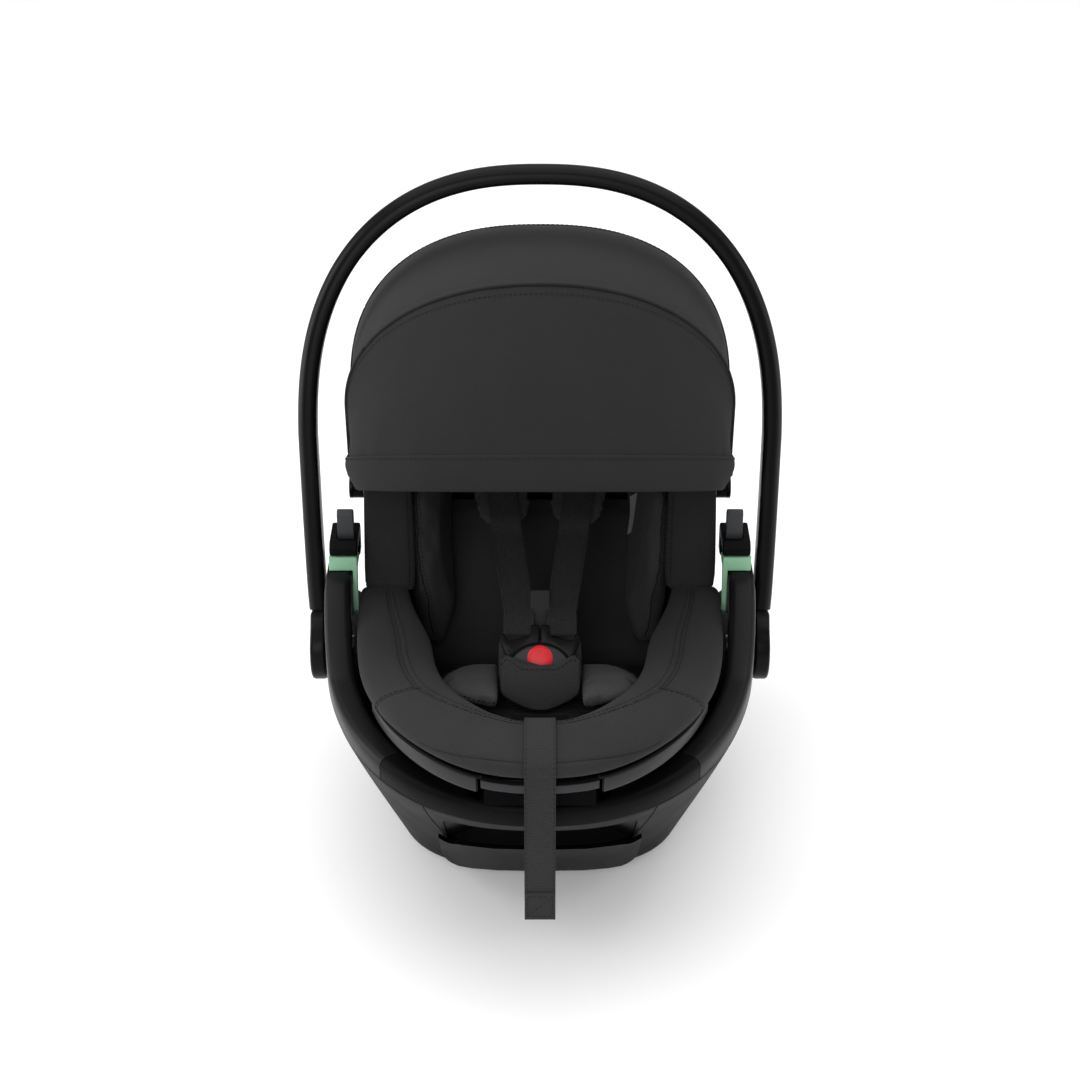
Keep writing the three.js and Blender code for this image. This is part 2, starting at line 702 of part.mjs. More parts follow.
function addHarness() {
  // The buckle group's local z runs up the buckle, and local -y is its face.
  const buckle = new THREE.Group();
  buckle.position.set(0, BUCKLE.y, BUCKLE.z);
  buckle.rotation.x = -BUCKLE.tilt;
  whole.add(buckle);

  const housing = buckleSlab(
    [
      [-22, -27], [22, -27], [29, -14], [29, 6], [22, 18],
      [11, 23], [-11, 23], [-22, 18], [-29, 6], [-29, -14],
    ],
    -8,
    16,
  );
  const slot = (x0, x1) => box([x0, -2.2, -6], [x1, 2.2, 40]);
  const buttonHole = new THREE.CylinderGeometry(12.4, 12.4, 10, 24).translate(0, -7, 0);
  add('buckle_body', cut(housing, slot(-22, -2.5), slot(2.5, 22), buttonHole), MATERIAL.shell, buckle);
  const button = new THREE.CylinderGeometry(12, 12, 5.2, 24).translate(0, -7.4, 0);
  add('buckle_button', button, MATERIAL.red, buckle);

  // Tongues: a blade in the buckle and a head that holds the shoulder strap.
  const tongue = buckleSlab(
    [[-3, -5], [-20, -5], [-20, 24.5], [-31, 24.5], [-35, 32], [-32, 38], [-3, 38]],
    -1.6,
    3.2,
  );
  addPair('tongue', tongue, MATERIAL.shell, buckle);

  // Webbing that anchors the buckle through the seat pad.
  add('crotch_strap', box([-19, -1.2, -44], [19, 1.2, -27.5]), MATERIAL.webbing, buckle);

  // Padded pocket in front of the buckle. Its upper edge dips in the middle.
  const pocket = buckleSlab(
    [
      [-20, -47], [-30, -38], [-34, -12], [-35, 12], [-25, -1], [-12, -7], [12, -7], [25, -1], [35, 12],
      [34, -12], [30, -38], [20, -47],
    ],
    -23,
    10,
  );
  add('crotch_pad', pocket, MATERIAL.fabric, buckle);

  // Shoulder straps: from the tongues straight to the slots in the headrest.
  const low = point(-19, BUCKLE.y + 30, BUCKLE.z + 31);
  const high = point(-46, 166, 296);
  const strapPath = (from, to, count) =>
    Array.from({ length: count }, (_, i) => low.clone().lerp(high, lerp(from, to, i / (count - 1))));
  const flat = (half, v0, v1) => [[-half, v0], [half, v0], [half, v1], [-half, v1]];
  const across = () => point(1, 0, 0);
  const strap = sweep(strapPath(0, 1, 6), across, () => flat(14, -1, 1));
  addPair('shoulder_strap', strap, MATERIAL.webbing);

  // Pads behind the straps, with rounded lower ends.
  const padPath = strapPath(0.5, 0.8, 7);
  const pad = sweep(padPath, across, (i) => flat([17, 24, 27][Math.min(i, 2)], 1.8, 8.5));
  const under = sweep(padPath, across, (i) => flat([17, 24, 27][Math.min(i, 2)], -8.5, -1.8));
  const isBehind = (g) => new THREE.Box3().setFromBufferAttribute(g.getAttribute('position')).min.z;
  addPair('shoulder_pad', isBehind(pad) < isBehind(under) ? pad : under, MATERIAL.fabric);
}

// ---------------------------------------------------------------- headrest

function addHeadrest() {
  // Back cushion between two cheeks. The local z runs up the back, along which it slides.
  const headrest = new THREE.Group();
  headrest.position.set(0, 188, 270);
  headrest.rotation.x = -Math.atan2(0.6, 0.8);
  whole.add(headrest);
  const outline = [
    [-82, -44], [-70, -50], [-63, 2], [-54, 10], [54, 10], [63, 2], [70, -50], [82, -44],
    [85, -10], [78, 24], [56, 34], [-56, 34], [-78, 24], [-85, -10],
  ];
  const shape = new THREE.Shape(outline.map(([x, y]) => new THREE.Vector2(x, y)));
  const cushion = new THREE.ExtrudeGeometry(shape, { depth: 86, bevelEnabled: false });
  add('headrest_pad', cushion, MATERIAL.fabric, headrest);
  add('headrest_pull', box([-26, 14, 86.6], [26, 30, 92]), MATERIAL.grey, headrest);
}

// ---------------------------------------------------------------- adjuster strap

function addAdjuster() {
  // Free end of the harness strap: over the padded rim, then hanging in front of the foot end.
  const middle = -SEAT.foot + BOLSTER.front - BOLSTER.overhang;
  const foot = seatRim(-SEAT.foot) + 0.8 + BOLSTER.crown / 2;
  const over = Array.from({ length: 12 }, (_, i) => {
    const a = lerp(rad(168), rad(-8), i / 11);
    const p = 2 / BOLSTER.power;
    const y = middle - (BOLSTER.front + 2) * signedPower(Math.cos(a), p);
    return [y, foot + (BOLSTER.crown / 2 + 2.2) * signedPower(Math.sin(a), p)];
  });
  const hang = [235, 222, 208, 194, 180, 166, 152, 138, 124, 106].map((z, i) => {
    return [-324.6 - Math.min(i, 2) * 0.4, z];
  });
  const route = [...over, ...hang].map(([y, z]) => point(0, y, z));
  const band = [[-12.5, -0.8], [0, -0.8], [12.5, -0.8], [12.5, 0.8], [0, 0.8], [-12.5, 0.8]];
  add('adjuster_strap', sweep(route, () => point(1, 0, 0), () => band), MATERIAL.webbing);

  // Slotted plate where the strap comes out, and the button that frees it.
  const slot = box([-14, -260, 233], [14, -230, 238]);
  const recess = box([-12.4, -238.5, 216.6], [12.4, -230, 226.4]);
  add('adjuster_plate', cut(box([-24, -242, 212], [24, -234, 243]), slot, recess), MATERIAL.shell);
  add('adjuster_button', box([-12, -235, 217], [12, -229, 226]), MATERIAL.grey);
}

// ---------------------------------------------------------------- canopy

// Half width and squareness of the arch at an angle about the pivot, measured up from the head end.
const canopyHalf = (angle) => lerp(175, 169, smooth(angle, rad(80), rad(145)));
const canopyPower = (angle) => {
  const rounder = lerp(2.4, 2.15, smooth(angle, rad(60), rad(106)));
  return rounder + 0.5 * smooth(angle, rad(115), rad(150));
};

// Point of the canopy: across runs from -1 to 1 over the arch, and depth is inwards.
function canopyPoint(angle, across, depth) {
  const p = 2 / canopyPower(angle);
  const a = (across * Math.PI) / 2;
  const x = (canopyHalf(angle) - depth) * signedPower(Math.sin(a), p);
  const r = CANOPY.radius - CANOPY.archDrop + (CANOPY.archDrop - depth) * signedPower(Math.cos(a), p);
  return point(x, CANOPY.pivotY + r * Math.cos(angle), CANOPY.pivotZ + r * Math.sin(angle));
}

// Point on a side of the canopy below the arch, towards the pivot.
function canopyLeg(angle, sign, r, x) {
  return point(sign * x, CANOPY.pivotY + r * Math.cos(angle), CANOPY.pivotZ + r * Math.sin(angle));
}

function canopySheet(from, to, steps, low) {
  const across = Array.from({ length: 17 }, (_, i) => lerp(-1, 1, i / 16));
  return loft(
    Array.from({ length: steps }, (_, i) => {
      const angle = lerp(from, to, i / (steps - 1));
      const leg = (sign, depth) => canopyLeg(angle, sign, low, canopyHalf(angle) + 1 - depth);
      const arch = (depth) => across.map((u) => canopyPoint(angle, u, depth));
      const run = (depth) => [leg(-1, depth), ...arch(depth), leg(1, depth)];
      return [...run(0), ...run(CANOPY.sheet).reverse()];
    }),
  );
}

// A bow: flat strip over the arch, with an eye round the pivot pin at each end.
function canopyBow(angle, eyeX) {
  const depth = CANOPY.sheet + 2.4;
  const across = Array.from({ length: 17 }, (_, i) => lerp(-1, 1, i / 16));
  const legs = (sign, list) => list.map((r) => canopyLeg(angle, sign, r, eyeX));
  const path = [
    ...legs(-1, [8, 66]),
    ...across.map((u) => canopyPoint(angle, u, depth)),
    ...legs(1, [66, 8]),
  ];
  const around = point(0, -Math.sin(angle), Math.cos(angle)); // along the canopy's turning
  const strip = [[-4, -1.2], [4, -1.2], [4, 1.2], [-4, 1.2]];
  const eye = (sign) => {
    const x = [sign * eyeX - 1.2, sign * eyeX + 1.2];
    return rodX(9, x[0], x[1], CANOPY.pivotY, CANOPY.pivotZ, 24);
  };
  const bar = toSolid(sweep(path, () => around, () => strip));
  const hole = toSolid(rodX(4.5, -230, 230, CANOPY.pivotY, CANOPY.pivotZ, 24));
  return toGeometry(bar.add(toSolid(eye(-1))).add(toSolid(eye(1))).subtract(hole));
}

const BOW = { rear: rad(62), mid: rad(106.4), front: rad(148.5), edge: rad(16), hem: rad(152.6) };

function addCanopy() {
  const apart = rad(0.35); // between a panel's edge and the next panel
  add('canopy_rear_bow', canopyBow(BOW.rear, 171.2), MATERIAL.shell);
  add('canopy_mid_bow', canopyBow(BOW.mid, 168), MATERIAL.shell);
  add('canopy_front_bow', canopyBow(BOW.front, 164.8), MATERIAL.shell);
  add('canopy_rear_panel', canopySheet(BOW.edge, BOW.rear - apart, 6, 26), MATERIAL.canopyFabric);
  add('canopy_mid_panel', canopySheet(BOW.rear + apart, BOW.mid - apart, 6, 40), MATERIAL.canopyFabric);
  add('canopy_front_panel', canopySheet(BOW.mid + apart, BOW.hem, 7, 24), MATERIAL.canopyFabric);

  // Headed pins from the seat shell through the bows' eyes.
  const pinProfile = [[0, 163], [4, 163], [4, 173], [11, 173], [11, 176.5], [0, 176.5]];
  const pin = new THREE.LatheGeometry(pinProfile.map(([r, h]) => new THREE.Vector2(r, h)), 24);
  pin.rotateZ(Math.PI / 2).translate(0, CANOPY.pivotY, CANOPY.pivotZ);
  addPair('canopy_pivot', pin, MATERIAL.shell);
}

addBase();
addRing();
addGuides();
addHandle();
addSeat();
addFootTrim();
addFootBolster();
addHeadBolster();
addPads();
addHarness();
addHeadrest();
addAdjuster();
addCanopy();

export default whole;
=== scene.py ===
import json
import math

import bmesh
import bpy
from mathutils import Matrix, Vector
from mathutils.bvhtree import BVHTree

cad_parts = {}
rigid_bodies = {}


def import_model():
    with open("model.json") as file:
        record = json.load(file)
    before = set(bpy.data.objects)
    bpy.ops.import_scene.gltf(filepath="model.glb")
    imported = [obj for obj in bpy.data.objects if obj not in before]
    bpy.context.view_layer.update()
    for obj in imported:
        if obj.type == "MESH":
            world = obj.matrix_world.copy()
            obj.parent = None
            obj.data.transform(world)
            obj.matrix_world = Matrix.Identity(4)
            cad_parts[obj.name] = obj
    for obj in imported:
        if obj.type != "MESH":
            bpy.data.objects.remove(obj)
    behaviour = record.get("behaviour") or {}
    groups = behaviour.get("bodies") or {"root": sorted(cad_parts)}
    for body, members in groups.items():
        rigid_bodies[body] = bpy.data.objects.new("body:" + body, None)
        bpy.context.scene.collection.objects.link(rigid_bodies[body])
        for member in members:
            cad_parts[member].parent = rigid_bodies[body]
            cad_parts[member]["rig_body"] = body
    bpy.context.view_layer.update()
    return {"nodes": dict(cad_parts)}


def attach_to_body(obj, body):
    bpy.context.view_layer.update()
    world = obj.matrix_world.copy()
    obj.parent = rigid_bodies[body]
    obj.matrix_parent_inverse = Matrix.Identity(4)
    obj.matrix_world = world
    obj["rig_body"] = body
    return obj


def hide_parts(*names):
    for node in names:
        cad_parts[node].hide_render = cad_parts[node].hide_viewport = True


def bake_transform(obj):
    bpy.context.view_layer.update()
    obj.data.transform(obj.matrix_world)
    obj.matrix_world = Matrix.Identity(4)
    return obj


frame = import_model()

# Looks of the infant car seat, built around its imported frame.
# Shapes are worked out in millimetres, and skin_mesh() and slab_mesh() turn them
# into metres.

MM = 0.001
TAU = 2 * math.pi
SIDES = (("left", -1), ("right", 1))

HUB_Z = 160  # handle axis
RECLINE_Z = 290  # recline axis
SEAT = dict(half=157, foot=313, head=298, bottom=218, foot_tangent=33, head_tangent=50, close_from=252,
            rim=204, foot_rise=30, shoulder_rise=96, shoulder_y=64, head_rise=42, wall=4,
            foot_power=2.35, head_power=3.6)
BASE = dict(foot=7, half_low=131, half_high=193.5, front_low=131, front_high=298, rear_low=168,
            rear_high=212, high_z=178, tower_z=200, tail_z=99, wall=5, power_low=3, power_high=2.3)
RING = dict(half=183, front=288, power=2.25, width=24, top_front=198, top_hub=243, end=40, split=50)
HANDLE = dict(lean=16, straight=200, half=211, rise=234.5, hub_half=205, power=2.4, depth=27, side=17,
              top=17.5, neck=37)
HUB_RING = dict(x=211.3, radius=19.5)
GRIP = dict(half=82, low=60, high=150, corner=14)  # window in the base's front wall, behind the lip
DOCK = dict(radius=62, bar=12, floor=5)  # round opening in the base's floor, with half the bar across it
CANOPY = dict(y=68, z=292, radius=241, drop=146)
CUP = dict(outer=10.8, inner=9.5, start=163.3, end=172.8)  # under the eyes of the bows
BOW = dict(edge=16, rear=62, mid=106.4, front=148.5, hem=152.6)  # degrees about the canopy's pivot
FRONT_EDGE = BOW["front"] - 2  # where the front panel ends, under the hem
BOLSTER = dict(hub=22, side=33, front=33, low=17, crown=25, overhang=8, power=2.4)
BUCKLE = dict(y=-78, z=196, tilt=38)
POCKET_LOW, POCKET_HIGH = -47, 58  # lower edge and height of the pocket, along the buckle


# ---------------------------------------------------------------- small maths

def clamp(v, low=0.0, high=1.0):
    return max(low, min(high, v))


def lerp(a, b, t):
    return a + (b - a) * t


def smooth(v, a, b):
    t = clamp((v - a) / (b - a))
    return t * t * (3 - 2 * t)


def signed_power(v, p):
    return math.copysign(abs(v) ** p, v)


def steps(a, b, count):
    return [lerp(a, b, i / (count - 1)) for i in range(count)]


def bump_at(v, centre, width):
    """1 at the centre, falling to 0 a few widths away."""
    return math.exp(-(((v - centre) / width) ** 2))


def ring_section(half_u, half_v, power, count):
    out = []
    for i in range(count):
        a = i / count * TAU
        u, v = signed_power(math.cos(a), 2 / power), signed_power(math.sin(a), 2 / power)
        out.append((half_u * u, half_v * v))
    return out


def arc(cx, cz, rx, rz, from_degrees, to_degrees, count):
    return [(cx + rx * math.cos(math.radians(a)), cz + rz * math.sin(math.radians(a)))
            for a in steps(from_degrees, to_degrees, count)]


def rounded_box(x0, x1, z0, z1, r):
    corners = ((x1 - r, z1 - r, 0), (x0 + r, z1 - r, 90), (x0 + r, z0 + r, 180), (x1 - r, z0 + r, 270))
    return [p for cx, cz, turn in corners for p in arc(cx, cz, r, r, turn, turn + 90, 6)]


def foot_end(half, reach, power, angle):
    """x, y and the outward direction on a rounded foot end, for an angle from 0 (right) to pi (left)."""
    p = 2 / power
    c, s = math.cos(angle), math.sin(angle)
    outward = Vector((signed_power(c, 2 - p) / half, -signed_power(s, 2 - p) / reach, 0))
    return half * signed_power(c, p), -reach * signed_power(s, p), outward.normalized()


def thinned(points, gap):
    """The points that are more than a gap apart, so that facets stay straight."""
    kept = [points[0]]
    for p in points[1:]:
        if (p - kept[-1]).length > gap:
            kept.append(p)
    return kept


def sweep(path, side, section):
    """Rows of points round a path. side(i) is the section's first axis, section(i) its pairs."""
    rows = []
    for i, at in enumerate(path):
        along = (path[min(i + 1, len(path) - 1)] - path[max(i - 1, 0)]).normalized()
        first = side(i) - along * side(i).dot(along)
        first.normalize()
        second = along.cross(first)
        rows.append([at + first * u + second * v for u, v in section(i)])
    return rows


# ---------------------------------------------------------------- meshes

def link(name, mesh, material, body=None, nodes=()):
    piece = bpy.data.objects.new(name, mesh)
    bpy.context.scene.collection.objects.link(piece)
    if material:
        mesh.materials.clear()
        mesh.materials.append(material)
    attach(piece, body, nodes)
    return piece


def attach(piece, body, nodes=()):
    """What the piece rides, and the CAD nodes it stands for."""
    if body:
        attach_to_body(piece, body)
    if nodes:
        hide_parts(*nodes)


def skin(name, rows, material, body=None, nodes=(), sharp=None):
    return link(name, skin_mesh(name, rows, sharp), material, body, nodes)


def skin_mesh(name, rows, sharp=None):
    """Quads between closed rows of points in millimetres, capped, with a UV map in metres."""
    count = len(rows[0])
    verts = [tuple(c * MM for c in p) for row in rows for p in row]
    faces, uvs, across = [], [], []
    for row in rows:
        run = [0.0]
        for j in range(count):
            run.append(run[-1] + (Vector(row[(j + 1) % count]) - Vector(row[j])).length * MM)
        across.append(run)
    along = [0.0]
    for i in range(len(rows) - 1):
        moved = sum((Vector(a) - Vector(b)).length for a, b in zip(rows[i], rows[i + 1])) / count
        along.append(along[-1] + moved * MM)
    for i in range(len(rows) - 1):
        for j in range(count):
            k = (j + 1) % count
            faces.append((i * count + j, i * count + k, (i + 1) * count + k, (i + 1) * count + j))
            uvs += [(across[i][j], along[i]), (across[i][j + 1], along[i]),
                    (across[i + 1][j + 1], along[i + 1]), (across[i + 1][j], along[i + 1])]
    last = (len(rows) - 1) * count
    faces += [tuple(reversed(range(count))), tuple(range(last, last + count))]
    uvs += [(p[0] * MM, p[2] * MM) for p in list(reversed(rows[0])) + list(rows[-1])]
    mesh = bpy.data.meshes.new(name)
    mesh.from_pydata(verts, [], faces)
    layer = mesh.uv_layers.new(name="uv")
    layer.data.foreach_set("uv", [c for uv in uvs for c in uv])
    tidy_mesh(mesh, sharp)
    return mesh


def tidy_mesh(mesh, sharp=None):
    """Faces out, smooth shading, and creases above the sharp angle in degrees."""
    bm = bmesh.new()
    bm.from_mesh(mesh)
    bmesh.ops.recalc_face_normals(bm, faces=bm.faces)
    bm.to_mesh(mesh)
    bm.free()
    mesh.shade_smooth()
    if sharp:
        mesh.set_sharp_from_angle(angle=math.radians(sharp))
    mesh.update()


def mesh_from(bm, name, sharp=None):
    mesh = bpy.data.meshes.new(name)
    bm.to_mesh(mesh)
    bm.free()
    tidy_mesh(mesh, sharp)
    return mesh


def slab_mesh(name, outline, y0, y1, bevel, segments=3, place=None):
    """Outline in x and z, between two depths in y, with rounded edges."""
    bm = bmesh.new()
    front = [bm.verts.new((x * MM, y0 * MM, z * MM)) for x, z in outline]
    back = [bm.verts.new((x * MM, y1 * MM, z * MM)) for x, z in outline]
    bm.faces.new(front)
    bm.faces.new(list(reversed(back)))
    for i in range(len(outline)):
        j = (i + 1) % len(outline)
        bm.faces.new((front[j], front[i], back[i], back[j]))
    bmesh.ops.recalc_face_normals(bm, faces=bm.faces)
    if bevel:
        rim = [e for e in bm.edges if abs(e.verts[0].co.y - e.verts[1].co.y) < 1e-9]
        bmesh.ops.bevel(bm, geom=rim, offset=bevel * MM, segments=segments, profile=0.5,
                        affect="EDGES", clamp_overlap=True)
    if place:
        bm.transform(place)
    return mesh_from(bm, name, 38)


def apply_modifiers(piece):
    graph = bpy.context.evaluated_depsgraph_get()
    made = bpy.data.meshes.new_from_object(piece.evaluated_get(graph), depsgraph=graph)
    piece.modifiers.clear()
    piece.data = made


def modify(piece, kind, **values):
    made = piece.modifiers.new(kind.lower(), kind)
    for key, value in values.items():
        setattr(made, key, value)
    return made


def round_edges(piece, width, degrees):
    """Bevel for the edges that are sharper than an angle."""
    modify(piece, "BEVEL", width=width * MM, segments=3, limit_method="ANGLE",
           angle_limit=math.radians(degrees))


def cut_with(piece, *tools):
    """Takes the tools' solids out of the piece."""
    for tool in tools:
        modify(piece, "BOOLEAN", object=tool, operation="DIFFERENCE", solver="EXACT")
    apply_modifiers(piece)
    for tool in tools:
        bpy.data.objects.remove(tool)


def tube(name, points, radius, material, body, sides=8):
    """Round bead along points in millimetres."""
    def side(i):
        along = (points[min(i + 1, len(points) - 1)] - points[max(i - 1, 0)]).normalized()
        axis = Vector((0, 0, 1)) if abs(along.z) < 0.8 else Vector((1, 0, 0))
        return axis.cross(along).normalized()
    rows = sweep(points, side, lambda i: ring_section(radius, radius, 2, sides))
    return skin(name, rows, material, body)


def stitch_mesh(name, runs, length=3.0, gap=1.6, radius=0.42):
    """Thread along runs of (point, normal) pairs in millimetres: one short bead for each stitch."""
    bm = bmesh.new()
    for run in runs:
        travelled, start, spots = 0.0, 0.0, []
        for (a, na), (b, nb) in zip(run, run[1:]):
            d = (b - a).length
            while start <= travelled + d and d > 1e-6:
                t = (start - travelled) / d
                spots.append((a.lerp(b, t), (b - a) / d, na.lerp(nb, t).normalized()))
                start += length + gap
            travelled += d
        for at, along, normal in spots:
            side = along.cross(normal).normalized()
            rings = []
            for s, r in ((-0.5, 0.35), (-0.36, 1), (0.36, 1), (0.5, 0.35)):
                centre = at + along * (s * length) + normal * (radius * 0.35)
                ring = []
                for k in range(6):
                    c, q = math.cos(k * TAU / 6), math.sin(k * TAU / 6)
                    at_rim = centre + side * (radius * r * c) + normal * (radius * r * q)
                    ring.append(bm.verts.new(at_rim * MM))
                rings.append(ring)
            for one, two in zip(rings, rings[1:]):
                for k in range(6):
                    bm.faces.new((one[k], one[(k + 1) % 6], two[(k + 1) % 6], two[k]))
            bm.faces.new(list(reversed(rings[0])))
            bm.faces.new(rings[-1])
    return mesh_from(bm, name)


def add_thread(name, runs, body=None, sizes=()):
    """Stitches along the runs. sizes are a stitch's length, the gap and the thread's radius."""
    return link(name, stitch_mesh(name, runs, *sizes), THREAD, body)


def laid_on(piece, points, lift=0.0):
    """(point, normal) pairs of a run moved onto the piece's surface."""
    verts = [v.co / MM for v in piece.data.vertices]
    tree = BVHTree.FromPolygons(verts, [tuple(p.vertices) for p in piece.data.polygons])
    out = []
    for p in points:
        at, normal, _, _ = tree.find_nearest(p)
        out.append((at + normal * lift, normal))
    return out


# ---------------------------------------------------------------- materials

def shader(name, colour, roughness, specular=0.5):
    made = bpy.data.materials.new(name)
    made.use_nodes = True
    made.diffuse_color = (*colour, 1)
    tree = made.node_tree
    bsdf = tree.nodes["Principled BSDF"]
    bsdf.inputs["Base Color"].default_value = (*colour, 1)
    bsdf.inputs["Roughness"].default_value = roughness
    bsdf.inputs["Specular IOR Level"].default_value = specular
    return made, tree, bsdf


def node(tree, kind, **values):
    made = tree.nodes.new(kind)
    for key, value in values.items():
        if key in made.inputs:
            made.inputs[key].default_value = value
        else:
            setattr(made, key, value)
    return made


def join(source, out, target, into):
    """Wires one node's output to another's input."""
    source.id_data.links.new(source.outputs[out], target.inputs[into])


def scaled(colour, factor):
    return tuple(clamp(c * factor) for c in colour)


def two_tone(bsdf, source, out, dark, light):
    """Base colour between two tones, by a node's output."""
    mix = node(bsdf.id_data, "ShaderNodeMix", data_type="RGBA")
    mix.inputs[6].default_value = (*dark, 1)
    mix.inputs[7].default_value = (*light, 1)
    join(source, out, mix, 0)
    join(mix, 2, bsdf, "Base Color")


def rough_range(bsdf, noise, low, high):
    """Roughness between two values, by a noise texture."""
    ranged = node(bsdf.id_data, "ShaderNodeMapRange", **{"To Min": low, "To Max": high})
    join(noise, "Fac", ranged, "Value")
    join(ranged, "Result", bsdf, "Roughness")


def bump_from(source, out, target, strength, distance):
    """Bumps by a node's output, for the normal of a shader or of another bump node."""
    bump = node(target.id_data, "ShaderNodeBump", Strength=strength, Distance=distance)
    join(source, out, bump, "Height")
    join(bump, "Normal", target, "Normal")
    return bump


def plastic(name, colour, roughness, grain=0.25, wear=1.5, specular=0.3):
    """Moulded plastic: fine spark-eroded grain, patchy gloss, edges rubbed a little lighter."""
    made, tree, bsdf = shader(name, colour, roughness, specular)
    place = node(tree, "ShaderNodeTexCoord")
    fine = node(tree, "ShaderNodeTexNoise", Scale=1500.0, Detail=3.0, Roughness=0.6)
    broad = node(tree, "ShaderNodeTexNoise", Scale=22.0, Detail=4.0)
    for texture in (fine, broad):
        join(place, "Object", texture, "Vector")
    bump_from(fine, "Fac", bsdf, grain, 0.00012)
    edge = node(tree, "ShaderNodeNewGeometry")
    ramp = node(tree, "ShaderNodeValToRGB")
    ramp.color_ramp.elements[0].position = 0.5
    ramp.color_ramp.elements[1].position = 0.62
    join(edge, "Pointiness", ramp, "Fac")
    two_tone(bsdf, ramp, "Color", colour, scaled(colour, wear))
    rough_range(bsdf, broad, roughness - 0.07, roughness + 0.07)
    return made


def fabric(name, colour, pitch=1.3, melange=0.4, weave=0.5, sheen=0.04, by_uv=True, ribs=False):
    """Knit or woven cloth: crossing threads, mottled yarn, soft sheen."""
    made, tree, bsdf = shader(name, colour, 0.92, 0.12)
    bsdf.inputs["Sheen Weight"].default_value = sheen
    bsdf.inputs["Sheen Roughness"].default_value = 0.45
    bsdf.inputs["Sheen Tint"].default_value = (0.8, 0.8, 0.8, 1)
    place = node(tree, "ShaderNodeTexCoord")
    waves = []
    threads = TAU / (20 * pitch * MM)
    for direction in ("X", "Y") if by_uv else ("DIAGONAL", "Z"):
        wave = node(tree, "ShaderNodeTexWave", Scale=threads, Distortion=0.6, Detail=1.0,
                    bands_direction=direction, **{"Detail Scale": 4.0})
        join(place, "UV" if by_uv else "Object", wave, "Vector")
        waves.append(wave)
    cross = node(tree, "ShaderNodeMath", operation="ADD" if ribs else "MULTIPLY")
    join(waves[0], "Fac", cross, 0)
    join(waves[1], "Fac", cross, 1)
    yarn = node(tree, "ShaderNodeTexNoise", Scale=900.0, Detail=2.0)
    broad = node(tree, "ShaderNodeTexNoise", Scale=14.0, Detail=5.0, Roughness=0.6)
    for texture in (yarn, broad):
        join(place, "Object", texture, "Vector")
    # half of the yarn's noise plus half of the broad one
    shade = node(tree, "ShaderNodeMath", operation="MULTIPLY_ADD")
    shade.inputs[1].default_value = 0.5
    join(yarn, "Fac", shade, 0)
    lift = node(tree, "ShaderNodeMath", operation="MULTIPLY")
    lift.inputs[1].default_value = 0.5
    join(broad, "Fac", lift, 0)
    join(lift, 0, shade, 2)
    two_tone(bsdf, shade, 0, scaled(colour, 1 - melange), scaled(colour, 1 + melange))
    fine = bump_from(cross, 0, bsdf, weave, pitch * MM * 0.3)
    bump_from(broad, "Fac", fine, 0.25, 0.002)
    return made


def steel(name):
    """Zinc plate with a drawn grain."""
    made, tree, bsdf = shader(name, (0.42, 0.42, 0.44), 0.35)
    bsdf.inputs["Metallic"].default_value = 1.0
    place = node(tree, "ShaderNodeTexCoord")
    grain = node(tree, "ShaderNodeTexNoise", Scale=160.0, Detail=6.0)
    join(place, "Object", grain, "Vector")
    rough_range(bsdf, grain, 0.25, 0.5)
    bump_from(grain, "Fac", bsdf, 0.2, 0.0002)
    return made


BLACK = plastic("satin_black", (0.003, 0.003, 0.0033), 0.33, specular=0.1)
BODY = plastic("satin_body", (0.0046, 0.0045, 0.005), 0.5, specular=0.05)
# The arms' dark plastic made darker and less glossy for the front band, lip, rack and belt hooks: painted
# shade, for faces that should take less light than the arms.
BAND_PAINTED_SHADE = plastic("satin_band_painted_shade", (0.0032, 0.0031, 0.0036), 0.45, specular=0.05)
# The finger hollow's plastic, much lighter than the base it belongs to: painted light, for the lit sides of
# the hollow.
RECESS_PAINTED_LIGHT = plastic("recess_grey_painted_light", (0.03, 0.03, 0.032), 0.6, specular=0.1)
ARM = plastic("satin_dark", (0.006, 0.0058, 0.0066), 0.4, specular=0.14)
TRIM = plastic("satin_trim", (0.017, 0.0168, 0.0178), 0.45, specular=0.25)
SLATE = plastic("slate_grey", (0.030, 0.032, 0.036), 0.4)
# Near-black plastic: the real parting lines on the base, and painted shade where it is put on the latch
# housing.
SEAM_AND_PAINTED_SHADE = plastic("parting_line_and_painted_shade", (0.0015, 0.0015, 0.0015), 0.8, specular=0.05)
LEVER = plastic("lever_grey", (0.0105, 0.011, 0.013), 0.4)
MINT = plastic("mint_green", (0.29, 0.56, 0.36), 0.42, wear=1.15)
RED = plastic("button_red", (0.95, 0.03, 0.042), 0.35, grain=0.1, wear=1.05)
STEEL = steel("zinc_plate")
KNIT = fabric("melange_knit", (0.027, 0.027, 0.027), pitch=1.2)
# The next three are the melange knit made lighter for the pads, thigh lobes and back cushion: painted light,
# to make up for the shade inside the seat.
KNIT_PAD_PAINTED_LIGHT = fabric("melange_knit_pad_painted_light", (0.044, 0.044, 0.044), pitch=1.2, by_uv=False)
KNIT_LOBE_PAINTED_LIGHT = fabric("melange_knit_lobe_painted_light", (0.085, 0.085, 0.085), pitch=1.2, by_uv=False)
KNIT_BACK_PAINTED_LIGHT = fabric("melange_knit_back_painted_light", (0.034, 0.034, 0.034), pitch=1.2, by_uv=False)
LINING = fabric("spacer_mesh", (0.011, 0.011, 0.011), pitch=2.0, weave=0.8, by_uv=False)
CANOPY_CLOTH = fabric("canopy_weave", (0.028, 0.028, 0.028), pitch=0.9, melange=0.25, weave=0.4, sheen=0.02)
